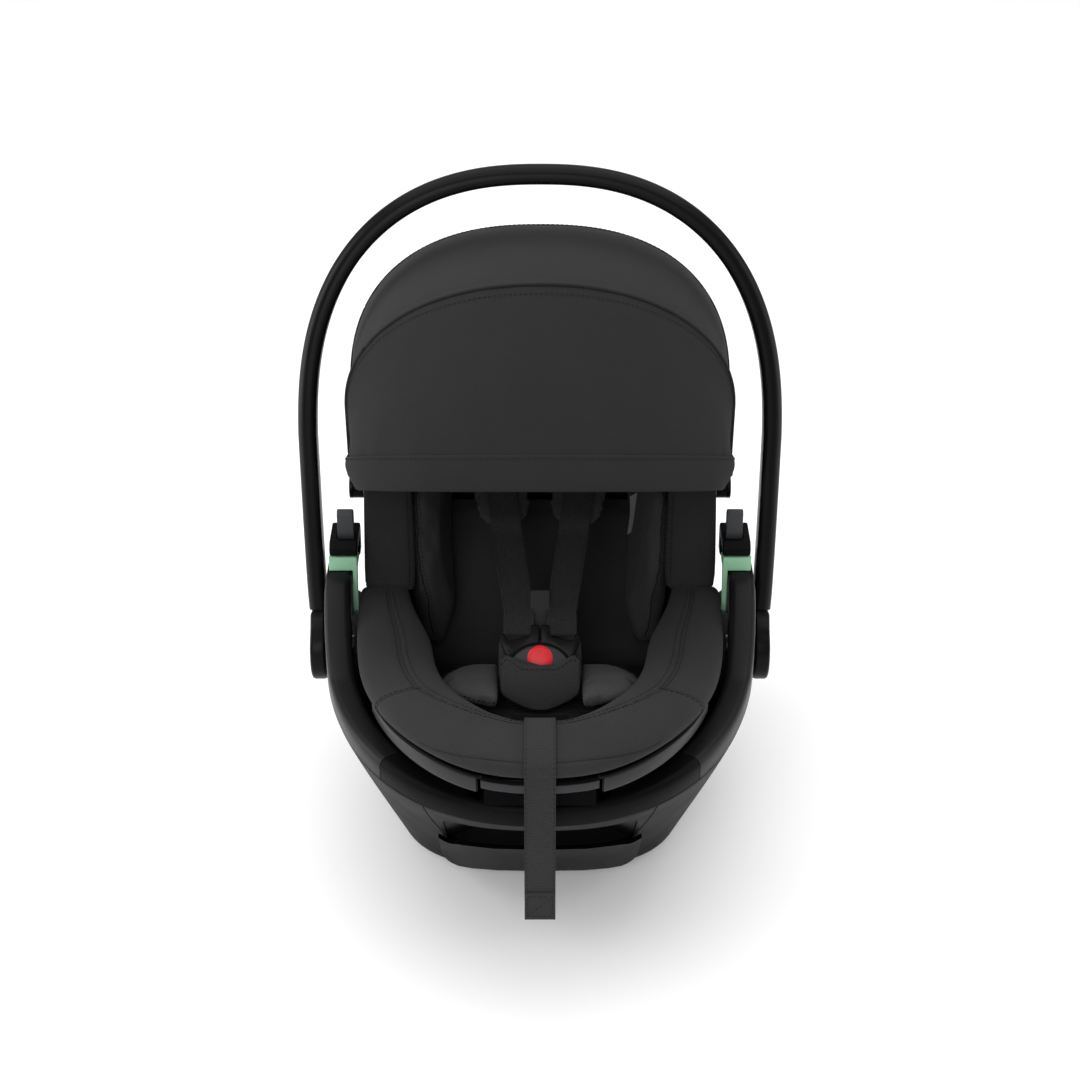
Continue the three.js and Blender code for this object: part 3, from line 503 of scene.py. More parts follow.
# The canopy cloth made darker for the front panel and hem: painted shade, as these face the top light less
# than the panels above.
CANOPY_FRONT_PAINTED_SHADE = fabric("canopy_weave_front_painted_shade", (0.0205, 0.0205, 0.0205), pitch=0.9, melange=0.25, weave=0.4,
                      sheen=0.0)
WEBBING = fabric("webbing", (0.034, 0.034, 0.034), pitch=1.6, weave=0.9, sheen=0.03, ribs=True)
THREAD = fabric("thread", (0.018, 0.018, 0.018), pitch=0.5, weave=0.3, by_uv=False)
EDGING = fabric("edging", (0.020, 0.020, 0.020), pitch=0.8, weave=0.3, by_uv=False)
LABEL = fabric("label_satin", (0.3, 0.3, 0.295), pitch=0.5, melange=0.08, weave=0.2, by_uv=False)


# ---------------------------------------------------------------- camera, light, floor

def add_camera():
    data = bpy.data.cameras.new("camera")
    data.sensor_width = 36
    data.lens = 71.67
    camera = bpy.data.objects.new("camera", data)
    bpy.context.scene.collection.objects.link(camera)
    target = Vector((0, 0, 0.2735))
    camera.location = Vector((0, -1.6861, 1.2470))
    camera.rotation_euler = (target - camera.location).to_track_quat("-Z", "Y").to_euler()
    bpy.context.scene.camera = camera


def add_light(name, spot, size, power, aim=(0, 0, 0.3), height=None):
    data = bpy.data.lights.new(name, "AREA")
    data.shape = "RECTANGLE"
    data.size = size
    data.size_y = height or size
    data.energy = power
    lamp = bpy.data.objects.new(name, data)
    bpy.context.scene.collection.objects.link(lamp)
    lamp.location = Vector(spot)
    lamp.rotation_euler = (Vector(aim) - lamp.location).to_track_quat("-Z", "Y").to_euler()


def add_studio():
    bpy.context.scene.view_settings.view_transform = "Standard"
    world = bpy.data.worlds.new("studio")
    bpy.context.scene.world = world
    world.use_nodes = True
    world.node_tree.nodes["Background"].inputs["Color"].default_value = (1, 1, 1, 1)
    world.node_tree.nodes["Background"].inputs["Strength"].default_value = 0.36
    add_light("top", (0, 0.6, 4.0), 6.0, 190)
    add_light("left_strip", (-1.9, 0.3, 0.8), 0.8, 17, height=1.6)
    add_light("right_strip", (1.9, 0.3, 0.8), 0.8, 7, height=1.6)
    add_light("front", (-0.5, -2.4, 1.5), 1.4, 24)
    made, tree, bsdf = shader("floor_white", (0.93, 0.93, 0.93), 0.9, 0.1)
    bsdf.inputs["Emission Color"].default_value = (1, 1, 1, 1)
    bsdf.inputs["Emission Strength"].default_value = 0.12
    bm = bmesh.new()
    bmesh.ops.create_grid(bm, x_segments=1, y_segments=1, size=8)
    mesh = bpy.data.meshes.new("floor")
    bm.to_mesh(mesh)
    bm.free()
    floor = link("floor", mesh, made)
    floor.location.z = -0.0002


# ---------------------------------------------------------------- CAD nodes that stay

def finish_node(name, material, bevel):
    """A CAD node kept as it is, with its edges broken and smooth shading."""
    piece = frame["nodes"][name]
    piece.data.materials.clear()
    piece.data.materials.append(material)
    for face in piece.data.polygons:
        face.use_smooth = True
        face.material_index = 0
    modify(piece, "WELD", merge_threshold=2e-5)
    if bevel:
        round_edges(piece, bevel, 35)
    modify(piece, "WEIGHTED_NORMAL", keep_sharp=True)


def add_kept_nodes():
    # The latch housing takes the near-black parting-line plastic: painted shade, standing in for the shadow
    # under the trim.
    one = {SEAM_AND_PAINTED_SHADE: ["latch_housing", "dock_ring"],
           BLACK: ["adjuster_plate", "canopy_rear_bow", "canopy_mid_bow", "canopy_front_bow"],
           BAND_PAINTED_SHADE: ["front_lip_panel", "recline_rack"],
           SLATE: ["headrest_pull", "adjuster_button"],
           LEVER: ["recline_lever"]}
    pairs = {BLACK: ["handle_hub", "canopy_pivot"],
             BAND_PAINTED_SHADE: ["belt_hook"],
             SLATE: ["release_lever", "handle_button"],
             MINT: ["belt_guide"],
             STEEL: ["detent_disc", "pivot_bolt"]}
    edges = {"release_lever": 2.2, "belt_hook": 1.4, "belt_guide": 1.0, "handle_hub": 0,
             "front_lip_panel": 1.5}
    for material, names in one.items():
        for name in names:
            finish_node(name, material, edges.get(name, 0.5))
    for material, names in pairs.items():
        for name in names:
            for side, _ in SIDES:
                finish_node(name + "_" + side, material, edges.get(name, 0.5))


# ---------------------------------------------------------------- base

def base_size(z):
    """Half width, reach in front, reach behind and roundness of the base at a height."""
    t = clamp(z / BASE["high_z"])
    return (lerp(BASE["half_low"], BASE["half_high"], t ** 0.9),
            lerp(BASE["front_low"], BASE["front_high"], t ** 1.2),
            lerp(BASE["rear_low"], BASE["rear_high"], t),
            lerp(BASE["power_low"], BASE["power_high"], t))


def base_outline(angle, z, inset=0.0):
    half, front, rear, power = base_size(z)
    s = math.sin(angle)
    reach = front if s < 0 else rear
    x = (half - inset) * signed_power(math.cos(angle), 2 / power)
    return Vector((x, (reach - inset) * signed_power(s, 2 / power), z))


def base_rim(y):
    tower = smooth(y, -105, -35) * (BASE["tower_z"] - BASE["high_z"])
    behind = smooth(y, 42, 165) * (BASE["tower_z"] - BASE["tail_z"])
    return BASE["high_z"] + tower - behind


def rim_height(angle):
    """Height at which the base's wall meets its upper edge, in that direction."""
    low, high = 60.0, 205.0
    for _ in range(30):
        middle = (low + high) / 2
        if middle < base_rim(base_outline(angle, middle).y):
            low = middle
        else:
            high = middle
    return low


def add_base():
    count = 176
    angles = [i / count * TAU for i in range(count)]
    rims = [rim_height(a) for a in angles]
    wall = BASE["wall"]
    rows = []

    def row(share, inset, z_floor):
        return [base_outline(a, lerp(z_floor, rims[i], share), inset) for i, a in enumerate(angles)]

    def level(inset, z):
        return [base_outline(a, z, inset) for a in angles]

    # the floor's underside, the rounded foot, the wall, the rim, and back down inside
    rows += [[p * k for p in level(BASE["foot"] + 4, 0)] for k in (0.02, 0.45, 0.62, 0.9, 1.0)]
    rows += [level(BASE["foot"] * (1 - math.sin(t)), 6 * (1 - math.cos(t)))
             for t in steps(0.35, math.pi / 2, 5)]
    rows += [row(s, 0, 6) for s in steps(0.06, 0.985, 22)]
    rows += [row(1.0, 0.7, 6), row(1.0, wall - 0.7, 6), row(0.985, wall, 6)]
    rows += [row(s, wall, 8) for s in reversed(steps(0.04, 0.95, 14))]
    rows += [[p * k for p in level(wall + 5, DOCK["floor"])] for k in (1.0, 0.5, 0.02)]
    for height, some in ((0, rows[:5]), (DOCK["floor"], rows[-3:])):
        for p in [p for r in some for p in r]:
            p.z = height
    shell = skin("base_body", rows, BODY)
    window = rounded_box(-GRIP["half"], GRIP["half"], GRIP["low"], GRIP["high"], GRIP["corner"])
    tools = [slab_mesh("window", window, -400, -110, 0)]
    tools += [half_disc(DOCK["radius"], DOCK["bar"], sign, -10, 20) for _, sign in SIDES]
    cut_with(shell, *[link("cutter", tool, None) for tool in tools])
    tidy_mesh(shell.data, 40)
    attach(shell, "base", ["base_shell"])


def base_front(x, z):
    """Depth of the base's front wall at a place seen from the front."""
    half, front, _, power = base_size(z)
    return -front * (1 - abs(x / half) ** power) ** (1 / power)


def add_grip():
    """Hollow behind the lip for the fingers: deepest low down in the middle, shallow at its edges."""
    half, low, high = GRIP["half"] + 1, GRIP["low"] - 2, GRIP["high"] + 2
    rows = []
    for k, z in enumerate([low - 1] + steps(low, high, 16)):
        t = clamp((z - low) / (high - low))
        deep = lerp(56, 24, t) * (k > 0) * clamp((high - z) / 46) ** 0.7
        row = []
        for x in steps(-half, half, 49):
            share = (1 - abs(x / half) ** 1.8) ** 1.1
            row.append(Vector((x, base_front(x, z) + 4.4 + deep * share, z)))
        rows.append(row + [p + Vector((0, 2, 0)) for p in reversed(row)])
    skin("grip_hollow", rows, RECESS_PAINTED_LIGHT, "base", ["grip_pocket"], sharp=50)
    for side, sign in SIDES:
        seam = []
        for t in steps(0, 1, 16):
            x, z = sign * (lerp(96, 86, t) + 1.5 * math.sin(math.pi * t)), lerp(176, 96, t)
            seam.append(Vector((x, base_front(x, z) - 0.1, z)))
        tube("base_seam_" + side, seam, 0.42, SEAM_AND_PAINTED_SHADE, "base", sides=6)


def half_disc(radius, from_y, sign, z0, z1):
    """Half of a round hole, on one side of the bar across the middle."""
    start = math.asin(from_y / radius)
    outline = [(radius * math.cos(a), sign * radius * math.sin(a)) for a in steps(start, math.pi - start, 40)]
    upright = Matrix(((1, 0, 0, 0), (0, 0, 1, 0), (0, 1, 0, 0), (0, 0, 0, 1)))  # depth becomes height
    return slab_mesh("dock_cut", outline, z0, z1, 0, place=upright)


# ---------------------------------------------------------------- side arms and front band

def arm_section(x, y, outward):
    low = base_rim(y) + 0.5
    high = RING["top_front"] + (RING["top_hub"] - RING["top_front"]) * smooth(y, -118, -6)
    w = RING["width"] / 2
    r = 6.5
    pairs = [(-w, low), (w - 1, low), (w, low + 1)]
    pairs += arc(w - r, high - r, r, r, 0, 90, 7) + arc(-w + r, high - r, r, r, 90, 180, 7)
    return [Vector((x, y, z)) + outward * u for u, z in pairs]


def arm_curve(angle):
    return arm_section(*foot_end(RING["half"], RING["front"], RING["power"], angle))


def band_hollow(sign):
    """Cutter for the wedge-shaped hollow in the front band beside the latch."""
    rows = []
    for t in steps(0, 1, 10):
        x = lerp(47, 90, t)
        angle = math.acos((x / RING["half"]) ** (RING["power"] / 2))
        _, y, outward = foot_end(RING["half"], RING["front"], RING["power"], angle)
        outward.x *= sign
        reach = lerp(8.0, -10.5, t ** 1.4)
        rows.append([Vector((sign * x, y, z)) + outward * u
                     for u, z in ((-15, 170), (reach, 170), (reach, 230), (-15, 230))])
    return skin_mesh("hollow", rows)


def add_ring():
    split = math.radians(RING["split"])
    joint = math.radians(0.12)
    for name, sign in SIDES:
        rows = [arm_curve(a) for a in steps(math.pi - split + joint, math.pi - 0.1, 60)]
        rows += [arm_section(-RING["half"], y, Vector((-1, 0, 0))) for y in steps(-24, RING["end"], 26)]
        # the horn's end is rounded off in height
        for k, back in ((1, 0.8), (2, 2.2)):
            y = RING["end"] + k * 0.6
            row = arm_section(-RING["half"], y, Vector((-1, 0, 0)))
            thinner = 1 - back / (RING["width"] / 2)
            rows.append([Vector(((p.x + RING["half"]) * thinner - RING["half"], p.y,
                                 p.z - (back if p.z > 215 else 0))) for p in row])
        if sign > 0:
            rows = [[Vector((-p.x, p.y, p.z)) for p in row] for row in rows]
        skin("arm_" + name, rows, ARM, "base", ["side_arm_" + name], sharp=50)
    rows = [arm_curve(a) for a in steps(split + joint, math.pi - split - joint, 90)]
    front = skin("band_front", rows, BAND_PAINTED_SHADE, sharp=50)
    cut_with(front, *[link("hollow", band_hollow(sign), None) for _, sign in SIDES])
    tidy_mesh(front.data, 50)
    attach(front, "base", ["front_band"])


# ---------------------------------------------------------------- handle

def handle_frame():
    lean = Matrix.Rotation(-math.radians(HANDLE["lean"]), 4, "X")
    return Matrix.Translation(Vector((0, 0, HUB_Z * MM))) @ lean


def handle_path(count):
    out = []
    for a in steps(math.pi, 0, count):
        p = 2 / HANDLE["power"]
        x = HANDLE["half"] * signed_power(math.cos(a), p)
        out.append(Vector((x, 0, HANDLE["straight"] + HANDLE["rise"] * signed_power(math.sin(a), p))))
    ends = []
    for t in steps(0, 1, 14)[:-1]:
        # the side runs in a gentle bow from the hub to the widest point
        x = lerp(HANDLE["hub_half"], HANDLE["half"], t ** 0.75)
        ends.append(Vector((x, 0, lerp(HANDLE["neck"] + 0.4, HANDLE["straight"], t))))
    left = [Vector((-p.x, 0, p.z)) for p in ends]
    return left + out + list(reversed(ends))


def add_handle():
    path = handle_path(121)
    even = thinned(path, 3.0)
    if (even[-1] - path[-1]).length < 2.5:
        even.pop()
    even.append(path[-1])
    # flat inner face, chamfered shoulders outside, and a ridge along the front face
    half_section = [(0, -8.75), (9, -8.75), (11.6, -8.1), (13.0, -6.2), (13.5, -3.4), (13.5, 0.2),
                    (13.1, 2.0), (11.4, 4.4), (8.8, 6.9), (6.4, 8.2), (3.6, 8.75)]
    section = half_section + [(-u, v) for u, v in reversed(half_section[1:])]

    def at(i):
        grip = smooth(even[i].z, HANDLE["straight"], HANDLE["straight"] + HANDLE["rise"])
        k = lerp(HANDLE["side"], HANDLE["top"], grip) / 17.5
        return [(u, v * k) for u, v in section]

    rows = sweep(even, lambda i: Vector((0, 1, 0)), at)
    mesh = skin_mesh("handle_tube", rows, sharp=60)
    mesh.transform(handle_frame())
    link("handle_tube", mesh, BLACK, "handle", ["handle_bar"])
    # a raised ring round each hub cover
    for name, sign in SIDES:
        circle = [Vector((sign * HUB_RING["x"], y, z))
                  for y, z in arc(0, 0, HUB_RING["radius"], HUB_RING["radius"], 0, 360, 49)]
        bead = tube("hub_ring_" + name, circle, 0.9, BLACK, None, sides=8)
        bead.data.transform(handle_frame())
        attach(bead, "handle")


# ---------------------------------------------------------------- seat shell and lining

def seat_rim(y):
    foot_rise = smooth(-y, 90, 300) * SEAT["foot_rise"]
    shoulder = smooth(y, 14, SEAT["shoulder_y"]) * SEAT["shoulder_rise"]
    head = clamp((y - SEAT["shoulder_y"]) / (SEAT["head"] - SEAT["shoulder_y"])) * SEAT["head_rise"]
    return SEAT["rim"] + foot_rise + shoulder + head


def seat_bottom(y):
    tangent = math.radians(SEAT["foot_tangent"] if y < 0 else SEAT["head_tangent"])
    r, d = SEAT["bottom"], abs(y)
    if d < r * math.sin(tangent):
        return RECLINE_Z - math.sqrt(r * r - d * d)
    close = 0
    if y > SEAT["close_from"]:
        close = 38 * ((y - SEAT["close_from"]) / (SEAT["head"] - SEAT["close_from"] - 6)) ** 2
    return RECLINE_Z - (r - d * math.sin(tangent)) / math.cos(tangent) + close


def seat_half(y):
    reach, power = (SEAT["foot"], SEAT["foot_power"]) if y < 0 else (SEAT["head"], SEAT["head_power"])
    return SEAT["half"] * (1 - clamp(abs(y) / reach) ** power) ** (1 / power)


def u_run(y, half, bottom, rim, count):
    out = []
    for a in steps(math.pi, 0, count):
        out.append(Vector((half * signed_power(math.cos(a), 2 / 3), y,
                           rim - (rim - bottom) * signed_power(math.sin(a), 2 / 3))))
    return out


def trough(outset, inset, lift, stations, count):
    rows = []
    for y in stations:
        rim = seat_rim(y) - lift
        slope = 1.1 if y < 0 else 1.35
        low = [min(seat_bottom(y) + d * slope, rim - 0.5) for d in (outset, inset)]
        half = [max(seat_half(y) - d, 2) for d in (outset, inset)]
        outer = u_run(y, half[0], low[0], rim, count)
        inner = u_run(y, half[1], max(low[1], low[0] + 0.2), rim, count)
        rows.append(outer + list(reversed(inner)))
    return rows


def stations_between(a, b, count):
    """Stations along y, packed closer towards the foot and head ends."""
    turn = math.pi / 2 * 0.86
    return [lerp(a, b, (math.sin(t * turn) / math.sin(turn) + 1) / 2) for t in steps(-1, 1, count)]


def add_seat():
    tub = trough(0, SEAT["wall"], 0, stations_between(-309, 293, 90), 61)
    skin("seat_tub", tub, BLACK, "seat", ["seat_shell"], sharp=55)
    lining = trough(6.2, 13, 3, stations_between(-293, 280, 80), 61)
    skin("seat_lining", lining, LINING, "seat", ["seat_liner"], sharp=60)


def add_trim():
    """Trim under the padded rim, on either side of the recline lever."""
    stop = math.acos((49.4 / SEAT["half"]) ** (SEAT["foot_power"] / 2))
    for side, sign in SIDES:
        rows = []
        for angle in steps(math.radians(30), stop, 60):
            at, outward = foot_outline(angle)
            rim = seat_rim(at.y)
            low = lerp(9.5, 14.5, smooth(at.y, -150, -290))
            rows.append([Vector((sign * (at.x + outward.x * u), at.y + outward.y * u, rim - v))
                         for u, v in ((0.5, low), (2.8, low), (3.7, low - 1), (4, low - 2.4), (4, 2),
                                      (3.5, 0.9), (2.9, 0.6), (0.5, 0.6))])
        skin("rim_trim_" + side, rows, TRIM, "seat", ["front_trim_" + side], sharp=50)


# ---------------------------------------------------------------- padded rings on the seat's rim

def foot_outline(angle):
    x, y, outward = foot_end(SEAT["half"], SEAT["foot"], SEAT["foot_power"], angle)
    return Vector((x, y, 0)), outward


def bolster_frame(t):
    """Place, outward direction and size of the foot bolster, t from 0 (right) to 1 (left)."""
    end = 0.045
    if end < t < 1 - end:
        angle = lerp(math.radians(2), math.pi - math.radians(2), (t - end) / (1 - 2 * end))
        return *foot_outline(angle), 1.0
    sign = 1 if t <= end else -1
    share = (end - t) / end if sign > 0 else (t - (1 - end)) / end
    y0 = foot_outline(math.radians(2))[0].y
    y = lerp(y0, 13.5, math.sin(share * math.pi / 2))
    size = max(max(1 - (share * 0.985) ** 4.5, 0.0) ** 0.45, 0.12)
    return Vector((sign * SEAT["half"], y, 0)), Vector((sign, 0, 0)), size


def bolster_point(t, a, lift=0.0):
    """Point on the foot bolster: a is the section's angle, 0 outside, a quarter turn on top."""
    at, outward, size = bolster_frame(t)
    front = smooth(-at.y, 60, 280)
    side = lerp(BOLSTER["hub"], BOLSTER["side"], smooth(-at.y, -20, 100))
    half = lerp(side, BOLSTER["front"], front)
    height = lerp(BOLSTER["low"], BOLSTER["crown"], front) * size
    p = 2 / BOLSTER["power"]
    u = (half * (1 + size) / 2 + lift) * signed_power(math.cos(a), p)
    v = (height / 2 + lift) * signed_power(math.sin(a), p)
    middle = BOLSTER["overhang"] - half
    base = Vector((at.x, at.y, seat_rim(at.y) + 0.8 + height / 2 + v))
    return base + outward * (middle + u)


BOLSTER_LOW_ENDS = (0.337, 0.663)  # where the seam along the front face starts and ends
BOLSTER_CROSS = (0.232, 0.768)  # where the side covers meet the front cover


def low_seam(t):
    """Section angle of the seam along the front face."""
    return math.radians(lerp(33, 4, smooth(abs(2 * t - 1), 0.08, 0.33)))


def bolster_seam(t):
    """Section angle of the seam along the top: midway at the sides, near the inner edge in front."""
    return math.radians(lerp(96, 126, smooth(1 - abs(2 * t - 1), 0.42, 0.85)))


def add_foot_bolster():
    count_t, count_a = 300, 72
    rows = []
    for t in steps(0, 1, count_t):
        row = []
        for k in range(count_a):
            a = k / count_a * TAU
            turn = (a + math.pi) % TAU - math.pi
            seam = bolster_seam(t)
            groove = 1.0 * bump_at(turn, seam, 0.04) + 0.5 * bump_at(turn, seam + 0.2, 0.035)
            if BOLSTER_LOW_ENDS[0] < t < BOLSTER_LOW_ENDS[1]:
                groove += 0.9 * bump_at(turn, low_seam(t), 0.06)
            if math.radians(-40) < turn < seam:
                groove += sum(1.1 * bump_at(t, c, 0.0022) for c in BOLSTER_CROSS)
            # the cover pulls a little between its seams
            pull = 0.5 * math.sin(t * 61) * bump_at(turn, seam + 0.35, 0.3)
            pull += 0.35 * math.sin(t * 93 + 1) * bump_at(turn, low_seam(t) + 0.2, 0.25)
            row.append(bolster_point(t, a, -groove - pull * 0.5))
        rows.append(row)
    piece = skin("rim_bolster", rows, KNIT, "seat", ["foot_bolster"])
    runs = []

    def spot(t, angle):
        return bolster_point(t, angle), (bolster_point(t, angle, 3) - bolster_point(t, angle)).normalized()

    low0, low1 = BOLSTER_LOW_ENDS
    runs.append([spot(t, bolster_seam(t) - 0.09) for t in steps(0.03, 0.97, 400)])
    runs.append([spot(t, bolster_seam(t) + 0.12) for t in steps(0.03, 0.97, 400)])
    for c in BOLSTER_CROSS:
        runs.append([spot(c + 0.0045, a) for a in steps(math.radians(-20), bolster_seam(c) - 0.1, 30)])
    add_thread("rim_bolster_thread", runs, "seat")
    # dark lines where the covers are joined
    lines = {"top": [spot(t, bolster_seam(t)) for t in steps(0.03, 0.97, 300)],
             "front": [spot(t, low_seam(t)) for t in steps(low0, low1, 120)],
             "front_right": [spot(low0, a) for a in steps(low_seam(low0), math.radians(-35), 20)],
             "front_left": [spot(low1, a) for a in steps(low_seam(low0), math.radians(-35), 20)],
             "right": [spot(BOLSTER_CROSS[0], a) for a in steps(math.radians(-35), bolster_seam(0.23), 40)],
             "left": [spot(BOLSTER_CROSS[1], a) for a in steps(math.radians(-35), bolster_seam(0.23), 40)]}
    for name, run in lines.items():
        tube("bolster_seam_" + name, [p - n * 0.75 for p, n in run], 0.5, THREAD, "seat", sides=6)


def head_path(count):
    """Middle of the head bolster's path in plan, with its half width and its reach."""
    centre = 13.5
    half, reach = SEAT["half"] - centre, SEAT["head"] - centre
    shoulder = SEAT["shoulder_y"]
    plan = [Vector((-half, y, 0)) for y in steps(15, shoulder, 20)]
    for a in steps(math.pi, 0, count)[1:-1]:
        p = 2 / SEAT["head_power"]
        y = shoulder + (reach - shoulder) * signed_power(math.sin(a), p)
        if y > shoulder + 2:
            plan.append(Vector((half * signed_power(math.cos(a), p), y, 0)))
    plan += [Vector((half, y, 0)) for y in steps(shoulder, 15, 20)]
    return plan, half, reach


def add_head_bolster():
    plan, half, reach = head_path(110)
    end = plan[-1]
    plan = thinned(plan, 3.2)
    plan[-1] = end
    thick, start = 7.5, 34
    path = []
    for at in plan:
        slope = (seat_rim(at.y + 1) - seat_rim(at.y - 1)) / 2 if abs(at.x) > half - 0.1 else 0.18
        length = math.hypot(1, slope)
        off = thick + 1.6
        path.append(Vector((at.x, at.y - off * slope / length, seat_rim(at.y) + off / length)))

    def outward(i):
        share = max(0, plan[i].y - start) / (reach - start)
        return Vector((plan[i].x / half * (1 - share ** 6), share ** 6, 0)).normalized()

    def section(i):
        near = min(i, len(plan) - 1 - i)
        tip = 0.6 + 0.4 * math.sqrt(1 - (1 - min(near, 3) / 3) ** 2)
        wide = 5 * (1 - smooth(plan[i].y, 24, 110))  # the roll broadens inwards near its ends
        out = []
        for k in range(56):
            a = k / 56 * TAU
            turn = (a + math.pi) % TAU - math.pi
            # double piping along the inner edge
            groove = 1.0 * bump_at(abs(turn), math.radians(142), 0.05)
            groove += 0.7 * bump_at(abs(turn), math.radians(158), 0.04)
            out.append(((18.5 * tip + wide - groove) * signed_power(math.cos(a), 2 / 2.8) - wide,
                        (thick * tip - groove * 0.7) * signed_power(math.sin(a), 2 / 2.8)))
        return out

    rows = sweep(path, outward, section)
    piece = skin("head_roll", rows, KNIT, "seat", ["head_bolster"])
    runs = []
    for degrees in (135, -135, 166, -166):
        k = round((degrees % 360) / 360 * 56) % 56
        runs.append([(rows[i][k], (rows[i][k] - path[i]).normalized()) for i in range(2, len(rows) - 2)])
    add_thread("head_roll_thread", runs, "seat")


# ---------------------------------------------------------------- cushions made by simulation

def puff(piece, voxel=4.0, pressure=4.0, cap=5.0, frames=18, soften=8):
    """Remesh, soften and blow up a cushion, and cap how far each point may move."""
    modify(piece, "REMESH", mode="VOXEL", voxel_size=voxel * MM)
    modify(piece, "SMOOTH", factor=0.5, iterations=soften)
    apply_modifiers(piece)
    before = [v.co.copy() for v in piece.data.vertices]
    cloth = modify(piece, "CLOTH")
    looks = dict(quality=5, mass=0.25, tension_stiffness=12, compression_stiffness=12,
                 bending_stiffness=0.6, use_pressure=True, uniform_pressure_force=pressure)
    for key, value in looks.items():
        setattr(cloth.settings, key, value)
    cloth.settings.effector_weights.gravity = 0
    cloth.collision_settings.use_collision = False
    scene = bpy.context.scene
    for number in range(1, frames + 1):
        scene.frame_set(number)
    apply_modifiers(piece)
    scene.frame_set(1)
    for v, was in zip(piece.data.vertices, before):
        moved = v.co - was
        if moved.length > cap * MM:
            v.co = was + moved.normalized() * cap * MM
    modify(piece, "SUBSURF", levels=1, render_levels=1)
    apply_modifiers(piece)
    tidy_mesh(piece.data)


def cushion(name, node, material, slot="fabric", shrink=1.2, fill=0.6, **how):
    """A padded piece that starts from its CAD solid, pulled in a little and blown up again."""
    source = frame["nodes"][node]
    mesh = source.data.copy()
    bm = bmesh.new()
    bm.from_mesh(mesh)
    bmesh.ops.remove_doubles(bm, verts=bm.verts, dist=2e-5)
    bm.normal_update()
    for v in bm.verts:
        v.co -= v.normal * shrink * MM
    bm.to_mesh(mesh)
    bm.free()
    piece = link(name, mesh, material)
    puff(piece, **how)
    piece.data.materials.clear()
    piece.data.materials.append(material)
    attach(piece, source["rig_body"], [node])
    return piece


def seam_on(piece, name, points, radius):
    """Corded edge along a run laid on a cushion, with a row of stitches beside it."""
    run = laid_on(piece, points, 0.1)
    tube(name, [p for p, _ in run], radius, EDGING, "seat")
    beside = []
    for i, (at, normal) in enumerate(run):
        along = run[min(i + 1, len(run) - 1)][0] - run[max(i - 1, 0)][0]
        beside.append(at + along.normalized().cross(normal) * 3.2)
    add_thread(name + "_thread", [laid_on(piece, beside)], "seat")


def dense(points, step=2.5):
    """A run through given points, rounded at its corners and evenly spaced."""
    out = []
    count = len(points)
    for i in range(count - 1):
        p0 = points[max(i - 1, 0)]
        p1, p2 = points[i], points[i + 1]
        p3 = points[min(i + 2, count - 1)]
        number = max(2, int((p2 - p1).length / step))
        for k in range(number):
            t = k / number
            out.append(((p1 * 2) + (p2 - p0) * t + (p0 * 2 - p1 * 5 + p2 * 4 - p3) * t * t
                        + (p1 * 3 - p0 - p2 * 3 + p3) * t ** 3) * 0.5)
    out.append(points[-1])
    return out


def add_cushions():
    cushion("seat_cushion", "seat_pad", LINING, voxel=5, cap=4, shrink=2)
    cushion("back_cushion", "back_pad", KNIT_BACK_PAINTED_LIGHT, "dark_fabric", voxel=5, cap=4, shrink=2)
    cushion("headrest_cushion", "headrest_pad", KNIT_PAD_PAINTED_LIGHT, voxel=5, cap=6, shrink=2.5)
    for side, sign in SIDES:
        thigh = cushion("thigh_lobe_" + side, "thigh_pad_" + side, KNIT_LOBE_PAINTED_LIGHT, voxel=3.5, cap=7, shrink=1.5,
                        pressure=7)
        for v in thigh.data.vertices:
            v.co.z += 5 * MM * smooth(v.co.z / MM, 150, 184)
        lobe = [Vector((sign * x, y, z)) for x, y, z in
                ((38, -136, 179), (62, -134, 179), (82, -121, 180), (93, -96, 182), (86, -64, 186))]
        seam_on(thigh, "thigh_edge_" + side, dense(lobe), 1.0)
        wing = cushion("wing_" + side, "side_wing_" + side, KNIT_PAD_PAINTED_LIGHT, voxel=5, cap=6, shrink=2, soften=14)
        for v in wing.data.vertices:
            # the wing stays wide down to its rounded lower end
            low = 1 - smooth(v.co.z / MM, 160, 240)
            v.co.x -= sign * 9 * MM * low * clamp((102 - abs(v.co.x) / MM) / 16)
        edge = [Vector((sign * x, y, z)) for x, y, z in
                ((97, 15, 150), (104, 14, 180), (110, 14, 212), (116, 16, 244), (119, 26, 272),
                 (120, 52, 300), (116, 110, 316))]
        seam_on(wing, "wing_edge_" + side, dense(edge), 0.9)
        cushion("strap_pad_" + side, "shoulder_pad_" + side, KNIT_PAD_PAINTED_LIGHT, voxel=3, cap=2.5, shrink=0.6, soften=5)


# ---------------------------------------------------------------- canopy

def canopy_half(angle):
    return lerp(175, 169, smooth(angle, 80, 145))


def canopy_power(angle):
    return lerp(2.4, 2.15, smooth(angle, 60, 106)) + 0.5 * smooth(angle, 115, 150)


def canopy_at(angle, x, r):
    a = math.radians(angle)
    return Vector((x, CANOPY["y"] + r * math.cos(a), CANOPY["z"] + r * math.sin(a)))


def canopy_point(angle, across, depth):
    """Point of the canopy at an angle in degrees. across runs from -1 to 1 over the arch."""
    p = 2 / canopy_power(angle)
    a = across * math.pi / 2
    drop = CANOPY["drop"]
    x = (canopy_half(angle) - depth) * signed_power(math.sin(a), p)
    r = CANOPY["radius"] - drop + (drop - depth) * signed_power(math.cos(a), p)
    return canopy_at(angle, x, r)


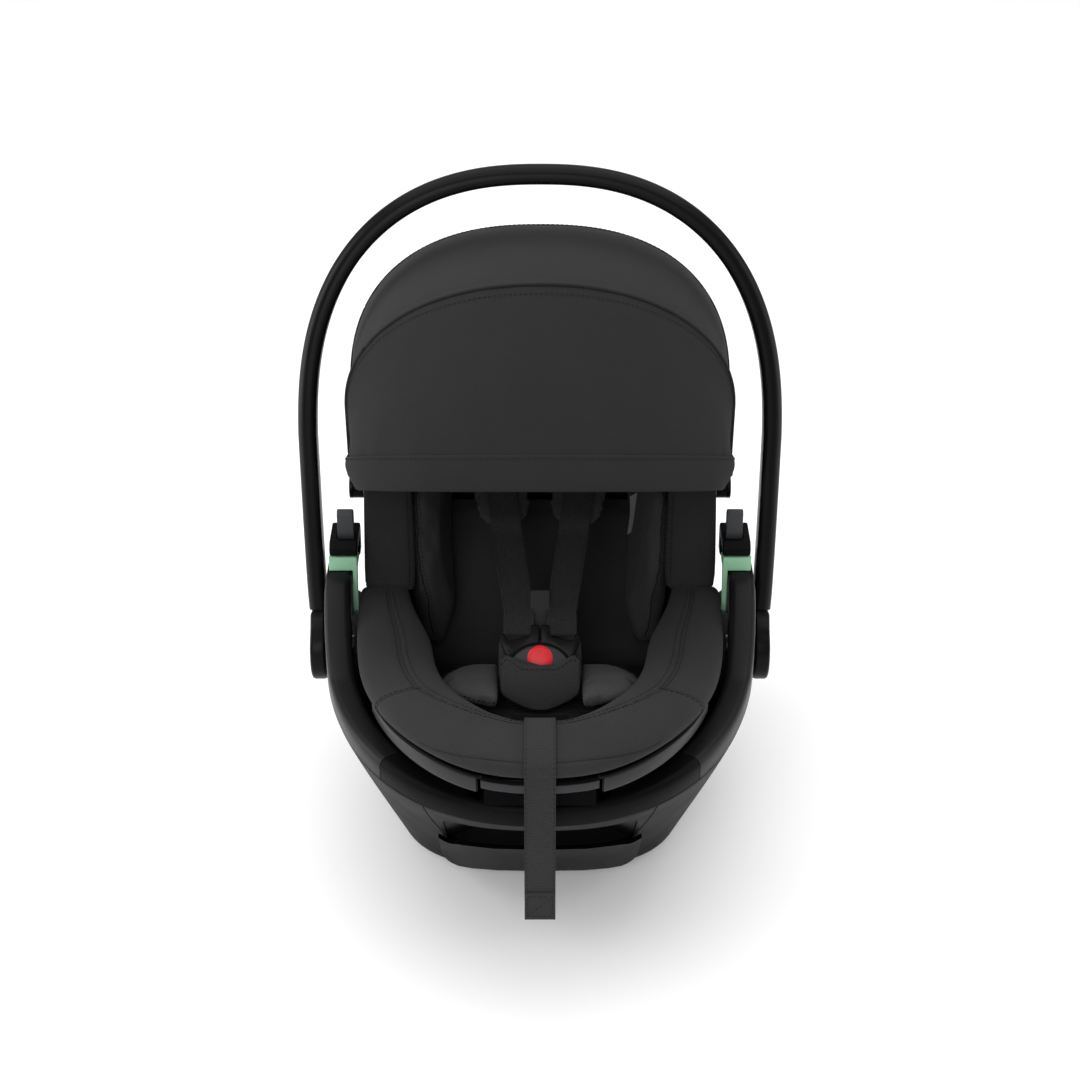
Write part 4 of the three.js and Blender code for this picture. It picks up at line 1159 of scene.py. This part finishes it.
def canopy_run(angle, depth, low, across_count, legs):
    """Points from one side's lower end, over the arch, to the other's. depth(angle, place) is inwards,
    with the place from -2 at one end, through -1 and 1 at the arch's ends, to 2. The angle may be a
    number or a function of the place."""
    turn = angle if callable(angle) else lambda place: angle
    out = []
    top = CANOPY["radius"] - CANOPY["drop"]
    for sign in (-1, 1):
        leg = []
        for t in steps(0, 1, legs)[:-1]:
            at = turn(sign * (2 - t))
            x = canopy_half(at) + 1 - t - depth(at, sign * (2 - t))
            leg.append(canopy_at(at, sign * x, lerp(low, top, t)))
        if sign < 0:
            out = leg + [canopy_point(turn(u), u, depth(turn(u), u)) for u in steps(-1, 1, across_count)]
        else:
            out += reversed(leg)
    return out


def canopy_panel(name, node, a0, a1, low, count, sag, seams, cloth):
    """One cloth panel between two bows. seams are angles where a stitched seam presses it in."""
    def outer(angle, place):
        t = (angle - a0) / (a1 - a0)
        inward = sag * math.sin(math.pi * t) * (1 - 0.5 * abs(place) / 2)
        # fine gathers that die away from the bows
        near = math.exp(-((t / 0.2) ** 2)) + math.exp(-(((1 - t) / 0.2) ** 2))
        gathers = math.sin(place * 37 + 1.3 * math.sin(place * 9)) + 0.6 * math.sin(place * 61 + 2)
        inward += 0.32 * near * gathers * (1 if abs(t - 0.5) < 0.47 else 0.35)
        inward += 0.45 * math.sin(place * 7 + t * 3) * math.sin(math.pi * t)
        inward += sum(0.55 * bump_at(angle, s, 0.32) for s in seams)
        return inward

    rows = []
    for angle in steps(a0, a1, count):
        top = canopy_run(angle, outer, low, 101, 12)
        under = canopy_run(angle, lambda g, u: outer(g, u) + 1.3, low, 101, 12)
        rows.append(top + list(reversed(under)))
    piece = skin(name, rows, cloth, None, [node], sharp=60)
    turn_between(piece)
    return piece


def turn_between(piece):
    """Bakes the piece's placement into its mesh."""
    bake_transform(piece)


def canopy_bead(name, angle, radius, lift, low, material, body):
    tube(name, canopy_run(angle, lambda g, u: -lift, low, 101, 8), radius, material, body)


def canopy_stitches(name, angle, low, lift=0.15):
    run = canopy_run(angle, lambda g, u: -lift, low, 161, 14)
    above = canopy_run(angle, lambda g, u: -lift - 3, low, 161, 14)
    pairs = [(p, (q - p).normalized()) for p, q in zip(run, above)]
    turn_between(add_thread(name, [pairs], sizes=(2.8, 1.6, 0.36)))


def add_canopy():
    rear = canopy_panel("canopy_cloth_rear", "canopy_rear_panel", BOW["edge"], BOW["rear"], 26, 46, 5.0,
                        [BOW["edge"] + 2.4, BOW["rear"] - 2.2], CANOPY_CLOTH)
    mid = canopy_panel("canopy_cloth_mid", "canopy_mid_panel", BOW["rear"], BOW["mid"], 40, 46, 4.0,
                       [BOW["rear"] + 2.2, BOW["mid"] - 2.0], CANOPY_CLOTH)
    front = canopy_panel("canopy_cloth_front", "canopy_front_panel", BOW["mid"], FRONT_EDGE, 34, 44, 2.5,
                         [BOW["mid"] + 2.6], CANOPY_FRONT_PAINTED_SHADE)
    add_hem()
    canopy_bead("canopy_edge_rear", BOW["edge"] - 0.4, 1.3, 0.2, 74, EDGING, "seat")
    canopy_bead("canopy_seam_rear", BOW["rear"] + 0.4, 1.0, 0.1, 74, CANOPY_CLOTH, "rear_bow")
    canopy_bead("canopy_seam_mid", BOW["mid"], 1.7, 0.5, 34, EDGING, "mid_bow")
    canopy_stitches("canopy_thread_rear", BOW["rear"] + 2.2, 60)
    canopy_stitches("canopy_thread_mid", BOW["mid"] + 2.6, 60)


def hem_angle(place, t):
    """The hem is as wide at its lower corners as in the middle, seen from in front."""
    u = min(abs(place), 1)
    return lerp(BOW["front"] - 3.2 - 5.5 * (u ** 2.5 + u ** 14), BOW["hem"], t)


def add_hem():
    """Wide hem that wraps the front bow, with rounded lower corners."""
    rows = []
    for t in steps(0, 1, 21):
        roll = 0.5 + 1.6 * math.sin(math.pi * t) ** 0.5
        tuck = 12.5 * clamp((t - 0.24) / 0.76) ** 1.6

        def outer(angle, place):
            return tuck * smooth(abs(place), 0.6, 1.0) - roll

        def inner(angle, place):
            return tuck * smooth(abs(place), 0.6, 1.0) + 2.4

        def turn(place):
            return hem_angle(place, t)

        low = 58 + 10 * clamp((t - 0.35) / 0.65) ** 2
        rows.append(canopy_run(turn, outer, low, 101, 14)
                    + list(reversed(canopy_run(turn, inner, low, 101, 14))))
    hem = skin("canopy_hem", rows, CANOPY_FRONT_PAINTED_SHADE, None, sharp=70)
    turn_between(hem)
    canopy_stitches("canopy_thread_hem", lambda place: hem_angle(place, 0.1), 70,
                    lift=1.75)
    for side, sign in SIDES:
        # half round cup under the eyes of the bows
        around = [(CUP["outer"], a) for a in steps(math.pi, 5.6, 25)]
        around += [(CUP["inner"], a) for a in steps(5.6, math.pi, 25)]
        cup = [[Vector((sign * x, CANOPY["y"] + r * math.cos(a), CANOPY["z"] + r * math.sin(a)))
                for r, a in around] for x in (CUP["start"], CUP["end"])]
        skin("canopy_cup_" + side, cup, ARM, "seat", sharp=40)


# ---------------------------------------------------------------- harness

def buckle_place():
    return (Matrix.Translation(Vector((0, BUCKLE["y"] * MM, BUCKLE["z"] * MM)))
            @ Matrix.Rotation(-math.radians(BUCKLE["tilt"]), 4, "X"))


def on_buckle(p):
    """A place in the buckle's own frame, in the shared one."""
    return buckle_place() @ (p * MM) / MM


def buckle_piece(name, outline, y0, y1, bevel, material, nodes=(), segments=3):
    mesh = slab_mesh(name, outline, y0, y1, bevel, segments, buckle_place())
    return link(name, mesh, material, "seat", nodes)


def mirrored(outline):
    return [(-x, z) for x, z in reversed(outline)]


def add_buckle():
    housing = arc(0, -4, 29, 22, -20, 200, 36)
    housing += arc(-10, -19, 12, 8, 180, 270, 6) + arc(10, -19, 12, 8, 270, 360, 6)
    buckle_piece("buckle_case", housing, -7.4, 8, 1.8, BLACK, ["buckle_body"])
    # raised half moon round the button
    moon = arc(0, -9, 26, 20.5, 8, 172, 36) + arc(0, -9, 26, 5, 180, 360, 14)
    buckle_piece("buckle_moon", moon, -9.4, -7, 0.8, SLATE)
    # two latch tongues meet on the middle line above the half moon
    edge = arc(0, -9, 27.6, 22.2, 22, 88.6, 14)
    right = edge + [(0.7, 29.5), (8.2, 29.5), (8.8, 27.5), (9.2, 20.5), (11, 19.2), (28, 15.4), (29.6, 17.4),
                    (32.6, 22), (34.6, 20.5), (35.2, 13), (31, 4)]
    for side, outline in (("right", right), ("left", mirrored(right))):
        buckle_piece("buckle_tongue_" + side, outline, -8.2, -2.0, 0.9, BLACK, ["tongue_" + side])
    add_button()


def add_button():
    """Red dome with a flat lower edge and a rounded rim."""
    rows = []
    for t in steps(0, 1, 9):
        r = 11.6 * math.cos(t * math.pi / 2) ** 0.55 if t < 1 else 0.05
        y = -8.6 - 2.6 * math.sin(t * math.pi / 2)
        rows.append([(r * math.cos(a), y, max(r * math.sin(a), -8.0)) for a in steps(0, TAU, 49)[:-1]])
    base = [[(p[0], -3.8, p[2]) for p in rows[0]]]
    mesh = skin_mesh("buckle_press", base + rows, sharp=50)
    mesh.transform(buckle_place())
    link("buckle_press", mesh, RED, "buckle_button", ["buckle_button"])


def pocket_top(u):
    """Upper edge of the pocket: level under the button, rising to its rounded corners."""
    return -7.5 + 9 * smooth(abs(u), 0.38, 0.86) - 4 * smooth(abs(u), 0.86, 1.0)


def pocket_at(u, z, lift):
    """Place on the pocket's bulging front, u from -1 to 1 across, z along the buckle."""
    t = (z - POCKET_LOW) / POCKET_HIGH
    half = 35.5 * (1 - (1 - clamp(t * 2.4)) ** 2.6 * 0.55) - 0.6 * math.sin(math.pi * t)
    bulge = (1 - abs(u) ** 2.4) * (6 + 3.5 * math.sin(math.pi * clamp(t)))
    return Vector((half * u, -12.5 - bulge - lift, z))


def add_pocket():
    """Padded pocket in front of the buckle, and the pad behind it, which the webbing comes through."""
    rows = []
    for t in steps(0, 1, 26):
        front, back = [], []
        for u in steps(-1, 1, 33):
            # the upper edge dips in the middle, the lower edge is round
            z = lerp(POCKET_LOW + 14 * abs(u) ** 3.5, pocket_top(u), t)
            front.append(pocket_at(u, z, 4.0 + 1.2 * math.sin(math.pi * t)))
            back.append(pocket_at(u, z, 0.0))
        rows.append(front + list(reversed(back)))
    piece = skin("crotch_pocket", rows, KNIT_PAD_PAINTED_LIGHT, sharp=75)
    piece.data.transform(buckle_place())
    round_edges(piece, 1.2, 50)
    apply_modifiers(piece)
    attach(piece, "seat", ["crotch_pad"])
    behind = arc(0, 8, 37.5, 34, 10, 170, 26) + arc(0, -20, 37.5, 26, 180, 360, 26)
    back = buckle_piece("crotch_back", behind, 9, 17, 3.6, KNIT_PAD_PAINTED_LIGHT, segments=4)
    run = [on_buckle(pocket_at(u, pocket_top(u) - 4, 5.2)) for u in steps(-0.97, 0.97, 60)]
    add_thread("crotch_pocket_thread", [laid_on(piece, run, 0.05)], "seat")


def band(name, path, side, width, thick, material=WEBBING, nodes=()):
    """Flat webbing along a path: slightly dished, with thicker woven edges."""
    half, t = width / 2, thick / 2
    top = [(half * u, t * (1 + 0.35 * bump_at(abs(u), 0.93, 0.05))) for u in steps(1, -1, 25)]
    section = top + [(u, -v) for u, v in reversed(top)]
    rows = sweep(path, side, lambda i: section)
    return skin(name, rows, material, "seat", nodes, sharp=65)


def across(i):
    """The first axis of a section, for webbing that runs lengthwise."""
    return Vector((1, 0, 0))


def strap_path(sign, count):
    low = Vector((sign * 19, BUCKLE["y"] + 30, BUCKLE["z"] + 31))
    high = Vector((sign * 46, 166, 296))
    out = []
    for t in steps(0, 1, count):
        p = low.lerp(high, t)
        p.z -= 3.0 * math.sin(math.pi * t)  # the webbing hangs a little between its ends
        over = 7 * smooth(t, 0.42, 0.51) * (1 - smooth(t, 0.82, 1))  # and lies on the shoulder pad
        p += Vector((0, -0.45, 0.9)) * over
        out.append(p)
    return out


def add_harness():
    add_buckle()
    add_pocket()
    for side, sign in SIDES:
        path = strap_path(sign, 60)
        # the lower end turns down round the tongue's bar
        first = path[0]
        into = on_buckle(Vector((sign * 19, -5, 20.5)))
        lead = [into.lerp(first, t) + Vector((0, 0, 2.2 * math.sin(math.pi * t)))
                for t in steps(0, 1, 14)[:-1]]
        band("strap_" + side, lead + path, across, 28, 1.7, nodes=["shoulder_strap_" + side])
        fold = [p + Vector((0, -0.4, 1.9)) for p in lead + path[:9]]
        band("strap_fold_" + side, fold, across, 27, 1.2)
        normal = Vector((0, -0.45, 0.9)).normalized()
        runs = [[(p + Vector((edge, 0, 1.0)), normal) for p in path[1:]] for edge in (-12.4, 12.4)]
        add_thread("strap_thread_" + side, runs, "seat", sizes=(2.6, 2.2, 0.3))
    lower = [on_buckle(Vector((0, 1.5, z))) for z in steps(-46, -14, 16)]
    band("crotch_webbing", lower, across, 38, 2.4, nodes=["crotch_strap"])
    buckle_piece("harness_tab", rounded_box(-8.5, 8.5, 26, 62, 2), 3, 5.2, 0.7, KNIT_PAD_PAINTED_LIGHT)


# ---------------------------------------------------------------- free end of the adjuster strap

def adjuster_route():
    """The free end's middle line, over the padded rim and down in front of the foot end."""
    out = []
    for i in range(12):
        a = lerp(math.radians(168), math.radians(-8), i / 11)
        p = 2 / BOLSTER["power"]
        y = (-SEAT["foot"] + BOLSTER["front"] - BOLSTER["overhang"]
             - (BOLSTER["front"] + 2) * signed_power(math.cos(a), p))
        z = (seat_rim(-SEAT["foot"]) + 0.8 + BOLSTER["crown"] / 2
             + (BOLSTER["crown"] / 2 + 2.2) * signed_power(math.sin(a), p))
        out.append(Vector((0, y, z)))
    for i, z in enumerate((235, 222, 208, 194, 180, 166, 152, 138, 124, 106)):
        out.append(Vector((0, -324.6 - min(i, 2) * 0.4, z)))
    return out


def add_adjuster():
    path = dense(adjuster_route(), 2.0)
    strap = band("adjuster_webbing", path, across, 25, 1.6, nodes=["adjuster_strap"])
    low = path[-1]
    fold = [low + Vector((0, -1.5, z)) for z in steps(28, 0.5, 14)]
    band("adjuster_hem", fold, across, 24.6, 1.3)
    front = Vector((0, -1, 0))
    corners = ((-10, 4), (10, 4), (10, 24), (-10, 24), (-10, 4), (10, 24))
    box = dense_line([low + Vector((x, -2.3, z)) for x, z in corners])
    edges = [[(p + Vector((x, 0, 0)) + n * 0.9, n) for p, n in route_normals(path[3:])]
             for x in (-11.2, 11.2)]
    add_thread("adjuster_thread", [[(p, front) for p in box]] + edges, "seat", sizes=(2.6, 1.9, 0.3))


def dense_line(points, step=1.5):
    out = []
    for a, b in zip(points, points[1:]):
        number = max(2, int((b - a).length / step))
        out += [a.lerp(b, k / number) for k in range(number)]
    return out + [points[-1]]


def route_normals(path):
    out = []
    for i, p in enumerate(path):
        along = (path[min(i + 1, len(path) - 1)] - path[max(i - 1, 0)]).normalized()
        out.append((p, Vector((1, 0, 0)).cross(along) * -1))
    return out


def add_label():
    """Blank care label sewn to the right inner wall."""
    for name, low, high, out in (("care_label", 226, 272, 0.0), ("care_label_tab", 208, 224, 1.5)):
        run = [Vector((88.5 + out + 2 * math.sin(2.5 * t), lerp(98, 90, t), lerp(low, high, t)))
               for t in steps(0, 1, 14)]
        band(name, run, lambda i: Vector((0.75, 0.6, 0.1)), 13 - 3 * out, 0.5, LABEL)


add_camera()
add_studio()
add_adjuster()
add_kept_nodes()
add_base()
add_grip()
add_ring()
add_handle()
add_seat()
add_trim()
add_foot_bolster()
add_head_bolster()
add_cushions()
add_harness()
add_canopy()
add_label()
